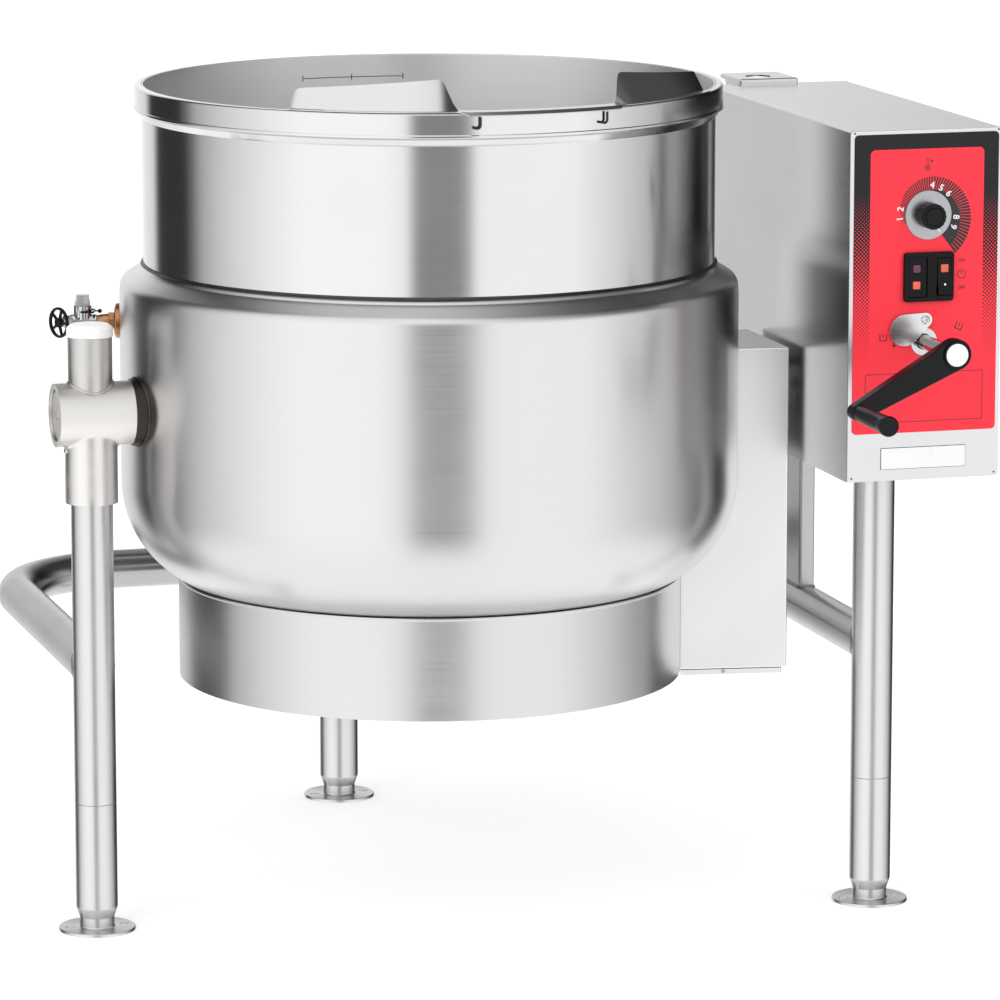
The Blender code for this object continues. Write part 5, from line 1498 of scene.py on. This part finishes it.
def shaft_flap():
    """A pear shaped plate that swings over the shaft's hole when the crank is off."""
    pivot = flap_pivot()
    across, down = CRANK.x - pivot.x, pivot.z - CRANK.z
    eye, lobe, arm = 8.2 * MM, 18.2 * MM, 27.1 * MM
    side = acos((eye - lobe) / arm)
    rest = acos((eye + 8.5 * MM + 2 * GAP) / sqrt(across**2 + down**2))
    outline = two_circles(eye, lobe, arm, atan2(-down, across) - side + rest)
    piece = plate(outline, FLAP_LOW, FLAP_LOW + SHEET, facing(pivot), 0.4 * MM)
    return carve(piece, rod(2.8 * MM, FLAP_LOW - 5 * MM, FLAP_LOW + PAST, pivot, FRONT, sides=32))


def flap_screw():
    pivot = flap_pivot()
    seat = -FACE_Y + GAP
    near = FLAP_LOW + SHEET + GAP
    corners = [(0, seat), (4.5 * MM, seat), (4.5 * MM, FLAP_LOW - GAP), (2.5 * MM, FLAP_LOW - GAP)]
    corners += [(2.5 * MM, near), (5 * MM, near), (4.8 * MM, near + 1.2 * MM), (3.4 * MM, near + 2.2 * MM)]
    corners += [(0, FLAP_LOW + 4.2 * MM)]
    head = turned([Vector(point) for point in corners], pivot, FRONT, 32)
    place = facing(pivot) @ Matrix.Rotation(radians(30), 4, "Z")
    for wide, tall in ((5.2 * MM, 1.2 * MM), (1.2 * MM, 5.2 * MM)):
        carve(head, plate(rectangle(wide, tall, 0.4 * MM, 2), near + 0.9 * MM, near + PAST, place))
    return head


def shaft_bushing():
    low, high = reach("shaft_bushing")
    return pipe(16.2 * MM, 9 * MM, low.y, high.y, CRANK, -FRONT, 0.7 * MM)


def crank_arm():
    """A moulded arm with bevelled edges, a ring round its cap and a pin for the grip."""
    front = -ARM_FRONT_Y
    low = front - 18 * MM
    outline = two_circles(17.7 * MM, 9.8 * MM, CRANK_RADIUS, pi + CRANK_ANGLE, 20)
    piece = plate(outline, low, front, facing(CRANK))
    soften(piece, 2.2 * MM, 3, 60)
    bore = rod(8.8 * MM, low - PAST, front - GAP, CRANK, FRONT)
    groove = pipe(17 * MM, 15.7 * MM, front - 1.2 * MM, front + PAST, CRANK, FRONT, 0.2 * MM)
    carve(piece, bore, groove)
    ring = pipe(15.6 * MM, 13.5 * MM, front - 1 * MM, front + 1.7 * MM, CRANK, FRONT, 0.5 * MM)
    pin = rod(4 * MM, front - 2 * MM, front + 89.5 * MM, GRIP_AT, FRONT)
    return carve(piece, ring, pin, how="UNION")


def crank_cap():
    front = -ARM_FRONT_Y
    corners = [(0, front + GAP), (13 * MM, front + GAP), (13 * MM, front + 1.4 * MM, 0.5 * MM)]
    corners += [(11 * MM, front + 2 * MM, 3 * MM), (0, front + 2 * MM)]
    return turned(eased(corners, 3), CRANK, FRONT, 64)


def crank_grip():
    """A turned grip that widens to its end, with a ring round the end."""
    front = -ARM_FRONT_Y
    tip = -GRIP_TIP_Y
    low = front + 0.5 * MM
    corners = [(0, tip - 7 * MM), (4.3 * MM, tip - 7 * MM), (4.3 * MM, low)]
    corners += [(8.4 * MM, low, 0.8 * MM), (9.2 * MM, low + 4 * MM, 2 * MM)]
    corners += [(10.5 * MM, tip - 18 * MM, 20 * MM), (11.5 * MM, tip - 8 * MM, 8 * MM)]
    corners += [(11.5 * MM, tip - 2 * MM, 1.6 * MM), (9.4 * MM, tip, 0.9 * MM)]
    corners += [(8.8 * MM, tip - 0.9 * MM, 0.3 * MM), (0, tip - 0.9 * MM)]
    return turned(eased(corners), GRIP_AT, FRONT, 64)


# What a user runs, one step for each group of pieces
class KettleFinishes(bpy.types.Operator):
    """Makes every finish, and gives the hidden pieces of the CAD frame theirs"""
    bl_idname = "kettle.finishes"
    bl_label = "Finishes"

    def execute(self, context):
        make_looks(context.scene.kettle_sizes, context.scene.kettle_colours)
        # The worm shaft's pink tint is a painted reflection
        hidden = {"left_bush": "machined_bronze", "worm_wheel": "machined_bronze",
                  "trunnion_block": "blasted_cast_stainless", "shaft_stand": "blasted_cast_stainless",
                  "worm_shaft": "ground_steel_painted_pink_reflection", "thermostat_body": "oiled_steel"}
        for node, look in hidden.items():
            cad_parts[node].material_slots[0].material = LOOKS[look]
        return {"FINISHED"}


class KettleBowl(bpy.types.Operator):
    """The bowl, the band round its rim and the level line inside it"""
    bl_idname = "kettle.bowl"
    bl_label = "Bowl and rim"

    def execute(self, context):
        sides = context.scene.kettle_sizes.round_sides
        bowl = finish(round_bowl(sides), "bowl", "kettle", "ring_brushed_stainless", "inner_vessel")
        line_inside(bowl)
        finish(round_band(sides), "rim", "kettle", "polished_rim_stainless", "rim_band")
        finish(level_mark(), "level_line", "kettle", "black_ink", slot="inner_vessel")
        return {"FINISHED"}


class KettleLip(bpy.types.Operator):
    """The pour lip with its two wings, and the wire hooks that clip it on"""
    bl_idname = "kettle.lip"
    bl_label = "Pour lip"

    def execute(self, context):
        finish(pour_lip(), "lip_sheet", "lip", "bright_sheet_stainless", "pour_lip")
        for side, name in ((-1, "left"), (1, "right")):
            finish(lip_hook(side), f"hook_{name}", "lip", "oiled_steel", f"lip_hook_{name}")
        return {"FINISHED"}


class KettleJacket(bpy.types.Operator):
    """The steam jacket, the skirt below it and the skirt's cover"""
    bl_idname = "kettle.jacket"
    bl_label = "Jacket and skirt"

    def execute(self, context):
        sides = context.scene.kettle_sizes.round_sides
        finish(round_jacket(sides), "jacket", "kettle", "belt_ground_stainless", "steam_jacket")
        # The bead's dark look is painted shade in the crevice
        finish(jacket_weld(sides), "jacket_bead", "kettle", "painted_shade_weld", slot="steam_jacket")
        finish(round_skirt(sides), "skirt", "kettle", "ground_skirt_stainless", "bottom_skirt")
        finish(round_cover(sides), "skirt_bottom", "kettle", "belt_ground_stainless", "skirt_cover")
        return {"FINISHED"}


class KettleTrunnions(bpy.types.Operator):
    """Both trunnions with their welds"""
    bl_idname = "kettle.trunnions"
    bl_label = "Trunnions"

    def execute(self, context):
        sizes = context.scene.kettle_sizes
        # The left trunnion's dark oiled steel is partly its own finish and partly painted shade for the
        # shade it sits in between the barrel and the jacket
        finish(left_trunnion(sizes.round_sides), "trunnion_solid", "kettle", "oiled_steel",
               "trunnion_left")
        finish(right_trunnion(sizes.round_sides), "trunnion_hollow", "kettle",
               "blasted_cast_stainless", "trunnion_right")
        for side, name in ((-1, "left"), (1, "right")):
            # The dark look of the boss welds is painted shade
            finish(boss_weld(side, sizes.weld), f"boss_weld_{name}", "kettle", "painted_shade_weld",
                   slot=f"trunnion_{name}")
        return {"FINISHED"}


class KettleCover(bpy.types.Operator):
    """The wiring cover beside the kettle and the pan under it"""
    bl_idname = "kettle.cover"
    bl_label = "Wiring cover"

    def execute(self, context):
        sizes = context.scene.kettle_sizes
        # The cover and its pan are painted lighter to stand for the light they catch
        finish(wiring_cover(sizes.round_sides, sizes.bend), "wire_cover", "kettle",
               "painted_light_cover_stainless", "wiring_cover")
        finish(cover_pan(sizes.round_sides, sizes.bend), "wire_pan", "kettle",
               "painted_light_cover_stainless", "cover_pan")
        across = 330 * MM
        front = COVER_LOW.y + (COVER_HIGH.x - across) * COVER_SLANT
        at = Vector((across, front, (PAN_LOW.z + PAN_HIGH.z) / 2))
        axis = Vector((-COVER_SLANT, -1, 0)).normalized()
        finish(screw(at, axis, 2.6 * MM, 1.8 * MM), "pan_screw", "kettle", "chrome_plate",
               slot="cover_pan")
        return {"FINISHED"}


class KettleValve(bpy.types.Operator):
    """The brass fitting, the relief valve and the two things that a hand moves on it"""
    bl_idname = "kettle.valve"
    bl_label = "Relief valve"

    def execute(self, context):
        sides = context.scene.kettle_sizes.round_sides
        finish(brass_fitting(sides), "brass_flange", "kettle", "cast_brass", "brass_fitting")
        finish(relief_valve(), "valve_body", "kettle", "chrome_plate", "relief_valve")
        finish(valve_cap(), "valve_head", "kettle", "chrome_plate", "valve_cap")
        finish(valve_lever(), "lift_lever", "lever", "moulded_black_nylon", "valve_lever")
        finish(vent_wheel(), "hand_wheel", "vent", "moulded_black_nylon", "vent_wheel")
        return {"FINISHED"}


class KettleHousing(bpy.types.Operator):
    """The cast bearing housing on the left leg, its post and the white cap"""
    bl_idname = "kettle.housing"
    bl_label = "Left bearing"

    def execute(self, context):
        weld = context.scene.kettle_sizes.weld
        finish(bearing_housing(), "cast_tee", "frame", "peened_cast_stainless", "bearing_housing")
        finish(bearing_cap(), "end_disc", "frame", "peened_cast_stainless", "bearing_end_cap")
        finish(sleeve_screw(), "sleeve_screw", "frame", "chrome_plate", slot="bearing_housing")
        finish(post_tube(), "short_post", "frame", "blasted_cast_stainless", "post_top")
        finish(post_weld(weld), "post_weld", "frame", "blasted_cast_stainless", slot="post_top")
        finish(white_cap(), "post_plug", "frame", "moulded_white_cap", "post_cap")
        return {"FINISHED"}


class KettleLegs(bpy.types.Operator):
    """Three legs of round tube and their levelling feet"""
    bl_idname = "kettle.legs"
    bl_label = "Legs and feet"

    def execute(self, context):
        weld = context.scene.kettle_sizes.weld
        bore = TUBE_R - TUBE_WALL
        for leg in ("left", "right"):
            tube = pipe(TUBE_R, bore, SEAM_Z, reach(f"leg_{leg}")[1].z, standing(leg), UP)
            finish(tube, f"tube_{leg}", "frame", "polished_tube_stainless", f"leg_{leg}")
            finish(rail_weld(leg, weld), f"rail_weld_{leg}", "frame", "brushed_weld",
                   slot="frame_rail")
        # The rear tube's darker look is painted shade
        finish(rear_leg(), "tube_rear", "frame", "shaded_rear_tube_stainless", "leg_rear")
        finish(rear_weld(weld), "rail_weld_rear", "frame", "brushed_weld", slot="frame_rail")
        for leg, body in (("left", "foot_l"), ("right", "foot_r"), ("rear", "foot_b")):
            finish(foot(leg), f"level_foot_{leg}", body, "polished_tube_stainless", f"foot_{leg}")
        return {"FINISHED"}


class KettleRail(bpy.types.Operator):
    """The bent rail round the back and the flat post that stands on it"""
    bl_idname = "kettle.rail"
    bl_label = "Rail and post"

    def execute(self, context):
        sizes = context.scene.kettle_sizes
        finish(rail(sizes.tube_sides), "bent_rail", "frame", "satin_rail_stainless", "frame_rail")
        finish(rear_post(), "flat_post", "frame", "satin_rail_stainless", "rear_post")
        finish(rear_post_weld(sizes.weld), "flat_post_weld", "frame", "brushed_weld",
               slot="rear_post")
        return {"FINISHED"}


class KettleConsole(bpy.types.Operator):
    """The console's sheets, its front panel and the bracket behind it"""
    bl_idname = "kettle.console"
    bl_label = "Console"

    def execute(self, context):
        bend = context.scene.kettle_sizes.bend
        sheet = "long_grain_stainless"
        finish(console_housing(bend), "console_shell", "frame", sheet, "console_housing")
        finish(console_base(), "console_floor", "frame", sheet, "console_base")
        finish(console_back(), "console_rear", "frame", sheet, "console_back")
        finish(back_screws(), "rear_screws", "frame", "chrome_plate", slot="console_back")
        finish(spout_bracket(bend), "bracket", "frame", sheet, "spout_bracket")
        panel = face_sheet("front_panel", 3 * MM, 0.4 * MM)
        finish(panel, "panel_sheet", "frame", "cross_grain_stainless", "front_panel")
        finish(blank_plate(), "blank_plate", "frame", "white_lacquer", slot="front_panel")
        finish(blank_plate_edge(), "blank_plate_edge", "frame", "black_ink", slot="front_panel")
        finish(corner_rivets(), "panel_rivets", "frame", "oiled_steel", slot="front_panel")
        return {"FINISHED"}


class KettleFilm(bpy.types.Operator):
    """The printed control film"""
    bl_idname = "kettle.film"
    bl_label = "Control film"

    def execute(self, context):
        marks = context.scene.kettle_sizes.marks
        film = face_sheet("control_overlay", 5 * MM, 0.15 * MM)
        finish(film, "film", "frame", "halftone_film", "control_overlay")
        for made, name, look in ((red_field(), "film_field", "red_film"),
                                 (dial_fan(marks), "film_fan", "black_ink"),
                                 (dial_figures(), "film_figures", "white_ink"),
                                 (panel_marks(), "film_marks", "black_ink")):
            finish(made, name, "frame", look, slot="control_overlay")
        return {"FINISHED"}


class KettleSwitch(bpy.types.Operator):
    """The switch with its two lamps and its rocker"""
    bl_idname = "kettle.switch"
    bl_label = "Switch"

    def execute(self, context):
        gloss = "glossy_black_switch"
        finish(switch_bezel(), "bezel", "frame", gloss, "switch_bezel")
        finish(lamp_window(), "window", "frame", gloss, "lamp_window")
        finish(lamp(1), "lens_upper", "frame", "magenta_lens", "lamp_upper")
        finish(lamp(-1), "lens_lower", "frame", "orange_lens", "lamp_lower")
        finish(rocker(), "rocker_body", "rocker", gloss, "power_rocker")
        finish(rocker_lens(), "rocker_lens", "rocker", "orange_lens", slot="power_rocker")
        finish(rocker_dot(), "rocker_dot", "rocker", "white_ink", slot="power_rocker")
        return {"FINISHED"}


class KettleKnob(bpy.types.Operator):
    """The thermostat's knob on its spun disc"""
    bl_idname = "kettle.knob"
    bl_label = "Knob"

    def execute(self, context):
        finish(knob_dial(), "disc", "knob", "spun_aluminium", "knob_dial")
        finish(knob_mark(), "disc_mark", "knob", "white_ink", slot="knob_dial")
        finish(knob(), "knob_grip", "knob", "moulded_black_nylon", "thermostat_knob")
        return {"FINISHED"}


class KettleCrank(bpy.types.Operator):
    """The crank, its grip, its cap, and the flap and bushing round its shaft"""
    bl_idname = "kettle.crank"
    bl_label = "Crank"

    def execute(self, context):
        finish(shaft_bushing(), "bushing", "frame", "chrome_plate", "shaft_bushing")
        finish(shaft_flap(), "flap_plate", "flap", "bright_sheet_stainless", "shaft_flap")
        finish(flap_screw(), "flap_pivot", "frame", "chrome_plate", "flap_screw")
        finish(crank_arm(), "arm", "crank", "moulded_black_nylon", "crank_arm")
        finish(crank_cap(), "arm_cap", "crank", "moulded_white_cap", "crank_cap")
        finish(crank_grip(), "grip_handle", "grip", "moulded_black_nylon", "crank_grip")
        return {"FINISHED"}


# Stage
# Tones of the studio's screens, by degrees to the right of the camera: one set level with the
# object, and one overhead
SCREENS = ((-180, 215), (-145, 205), (-139, 45), (-114, 45), (-108, 110), (-103, 165), (-90, 202),
           (-75, 225), (-62, 240), (-50, 250), (-20, 250), (-9, 242), (-5, 130), (12, 130),
           (16, 165), (19, 243), (60, 243), (68, 232), (80, 214), (95, 190), (106, 165),
           (115, 120), (122, 60), (130, 15), (156, 10), (166, 110), (180, 215))
CEILING = ((-180, 140), (-150, 140), (-144, 60), (-116, 70), (-104, 150), (-75, 235), (0, 240),
           (30, 225), (60, 165), (90, 70), (150, 50), (166, 140), (180, 140))
# Heights, from -1 below to 1 above, between which the screens blend into the floor and the ceiling
FLOOR_BLEND = (-0.35, -0.55)
CEILING_BLEND = (0.3, 0.5)
SHINE = 1.62
FLOOR_GLOW = 0.27


def make_world():
    """White for the camera. What shines sees upright bands of the studio's screens between a
    pale floor and a grey ceiling, and the rest gets a level light."""
    world = bpy.data.worlds.new("studio")
    bpy.context.scene.world = world
    world.use_nodes = True
    tree = world.node_tree
    tree.nodes.clear()
    place = add_node(tree, "ShaderNodeTexCoord")
    parts = add_node(tree, "ShaderNodeSeparateXYZ", links={"Vector": place.outputs["Generated"]})
    front = add_node(tree, "ShaderNodeMath", {"operation": "MULTIPLY", 1: -1.0}, {0: parts.outputs["Y"]})
    turn = add_node(tree, "ShaderNodeMath", {"operation": "ARCTAN2"},
                    {0: parts.outputs["X"], 1: front.outputs["Value"]})
    shifted = add_node(tree, "ShaderNodeMath", {"operation": "ADD", 1: VIEW_SIDE},
                       {0: turn.outputs["Value"]})
    wrapped = add_node(tree, "ShaderNodeMath", {"operation": "WRAP", 1: pi, 2: -pi},
                       {0: shifted.outputs["Value"]})
    share = add_node(tree, "ShaderNodeMapRange", {"From Min": -pi, "From Max": pi},
                     {"Value": wrapped.outputs["Value"]})
    rings = []
    for ring in (SCREENS, CEILING):
        stops = [((angle + 180) / 360, linear("#" + f"{level:02X}" * 3)) for angle, level in ring]
        rings.append(add_node(tree, "ShaderNodeValToRGB", {"stops": stops},
                              {"Fac": share.outputs["Result"]}))
    low = add_node(tree, "ShaderNodeMapRange", dict(zip(("From Min", "From Max"), FLOOR_BLEND)),
                   {"Value": parts.outputs["Z"]})
    grounded = add_node(tree, "ShaderNodeMix", {"data_type": "RGBA", 7: (0.9, 0.9, 0.9, 1)},
                        {"Factor": low.outputs["Result"], 6: rings[0].outputs["Color"]})
    high = add_node(tree, "ShaderNodeMapRange", dict(zip(("From Min", "From Max"), CEILING_BLEND)),
                    {"Value": parts.outputs["Z"]})
    roofed = add_node(tree, "ShaderNodeMix", {"data_type": "RGBA"},
                      {"Factor": high.outputs["Result"], 6: grounded.outputs["Result"],
                       7: rings[1].outputs["Color"]})
    shine = add_node(tree, "ShaderNodeBackground", {"Strength": SHINE},
                     {"Color": roofed.outputs["Result"]})
    soft = add_node(tree, "ShaderNodeBackground", {"Strength": 1.0, "Color": (1, 1, 1, 1)})
    white = add_node(tree, "ShaderNodeBackground", {"Strength": 1.0, "Color": (1, 1, 1, 1)})
    path = add_node(tree, "ShaderNodeLightPath")
    shiny = add_node(tree, "ShaderNodeMath", {"operation": "MAXIMUM"},
                     {0: path.outputs["Is Glossy Ray"], 1: path.outputs["Is Transmission Ray"]})
    lit = add_node(tree, "ShaderNodeMixShader",
                   links={0: shiny.outputs["Value"], 1: soft.outputs["Background"],
                          2: shine.outputs["Background"]})
    seen = add_node(tree, "ShaderNodeMixShader",
                    links={0: path.outputs["Is Camera Ray"], 1: lit.outputs["Shader"],
                           2: white.outputs["Background"]})
    add_node(tree, "ShaderNodeOutputWorld", links={"Surface": seen.outputs["Shader"]})


def make_floor(colour):
    """A white floor that keeps the shadow. It isn't seen in reflections."""
    tree = new_look("studio_floor")
    matt = add_node(tree, "ShaderNodeBsdfPrincipled",
                    {"Base Color": rgba(tone(colour, 0.88)), "Roughness": 0.9, "Specular IOR Level": 0.0})
    glow = add_node(tree, "ShaderNodeEmission", {"Color": (1, 1, 1, 1)})
    path = add_node(tree, "ShaderNodeLightPath")
    level = add_node(tree, "ShaderNodeMath", {"operation": "MULTIPLY", 1: FLOOR_GLOW},
                     {0: path.outputs["Is Camera Ray"]})
    tree.links.new(level.outputs["Value"], glow.inputs["Strength"])
    both = add_node(tree, "ShaderNodeAddShader", links={0: matt.outputs["BSDF"],
                                                        1: glow.outputs["Emission"]})
    add_node(tree, "ShaderNodeOutputMaterial", links={"Surface": both.outputs["Shader"]})
    clear()
    bpy.ops.mesh.primitive_plane_add(size=60, location=(0, 0, 0))
    floor = bpy.context.object
    floor.name = "studio_floor"
    floor.data.materials.append(LOOKS["studio_floor"])
    floor.visible_glossy = False
    return floor


def make_lamp(name, place, size, power):
    """A soft lamp that looks at the kettle's middle and isn't seen in reflections."""
    clear()
    bpy.ops.object.light_add(type="AREA", location=place)
    lamp_object = bpy.context.object
    lamp_object.name = name
    lamp_object.data.size = size
    lamp_object.data.energy = power
    lamp_object.rotation_euler = (VIEW_TARGET - place).to_track_quat("-Z", "Y").to_euler()
    lamp_object.visible_glossy = False
    return lamp_object


def make_camera():
    clear()
    ahead = Vector((sin(VIEW_TURN) * cos(VIEW_DROP), cos(VIEW_TURN) * cos(VIEW_DROP), -sin(VIEW_DROP)))
    bpy.ops.object.camera_add(location=VIEW_TARGET - ahead * VIEW_AWAY,
                              rotation=(pi / 2 - VIEW_DROP, 0, -VIEW_TURN))
    camera = bpy.context.object
    camera.name = "photo_camera"
    camera.data.lens = VIEW_LENS
    camera.data.sensor_width = 36
    camera.data.clip_end = 100
    bpy.context.scene.camera = camera
    return camera


class KettleStage(bpy.types.Operator):
    """The studio: floor, soft lamps, the world and the photographer's camera"""
    bl_idname = "kettle.stage"
    bl_label = "Stage"

    def execute(self, context):
        context.scene.view_settings.view_transform = "Standard"
        make_world()
        floor = make_floor(list(context.scene.kettle_colours.floor))
        left = make_lamp("soft_left", Vector((-2.6, -2.2, 2.6)), 2.0, 28)
        right = make_lamp("soft_right", Vector((2.4, -2.6, 2.2)), 2.0, 16)
        make_camera()
        return {"FINISHED"}


STEPS = (KettleFinishes, KettleBowl, KettleLip, KettleJacket, KettleTrunnions, KettleCover,
         KettleValve, KettleHousing, KettleLegs, KettleRail, KettleConsole, KettleFilm,
         KettleSwitch, KettleKnob, KettleCrank, KettleStage)


class KettlePanel(bpy.types.Panel):
    """Lists the steps, the sizes and the colours"""
    bl_idname = "VIEW3D_PT_kettle"
    bl_label = "Steam jacketed kettle"
    bl_space_type = "VIEW_3D"
    bl_region_type = "UI"
    bl_category = "Kettle"

    def draw(self, context):
        for settings in (context.scene.kettle_sizes, context.scene.kettle_colours):
            for name in settings.__annotations__:
                self.layout.prop(settings, name)
        for step in STEPS:
            self.layout.operator(step.bl_idname)


CLASSES = (KettleSizes, KettleColours, *STEPS, KettlePanel)


def register():
    for item in CLASSES:
        bpy.utils.register_class(item)
    bpy.types.Scene.kettle_sizes = bpy.props.PointerProperty(type=KettleSizes)
    bpy.types.Scene.kettle_colours = bpy.props.PointerProperty(type=KettleColours)


def unregister():
    del bpy.types.Scene.kettle_colours
    del bpy.types.Scene.kettle_sizes
    for item in reversed(CLASSES):
        bpy.utils.unregister_class(item)


def main():
    register()
    bpy.ops.kettle.finishes()
    bpy.ops.kettle.bowl()
    bpy.ops.kettle.lip()
    bpy.ops.kettle.jacket()
    bpy.ops.kettle.trunnions()
    bpy.ops.kettle.cover()
    bpy.ops.kettle.valve()
    bpy.ops.kettle.housing()
    bpy.ops.kettle.legs()
    bpy.ops.kettle.rail()
    bpy.ops.kettle.console()
    bpy.ops.kettle.film()
    bpy.ops.kettle.switch()
    bpy.ops.kettle.knob()
    bpy.ops.kettle.crank()
    bpy.ops.kettle.stage()


if __name__ == "__main__":
    main()
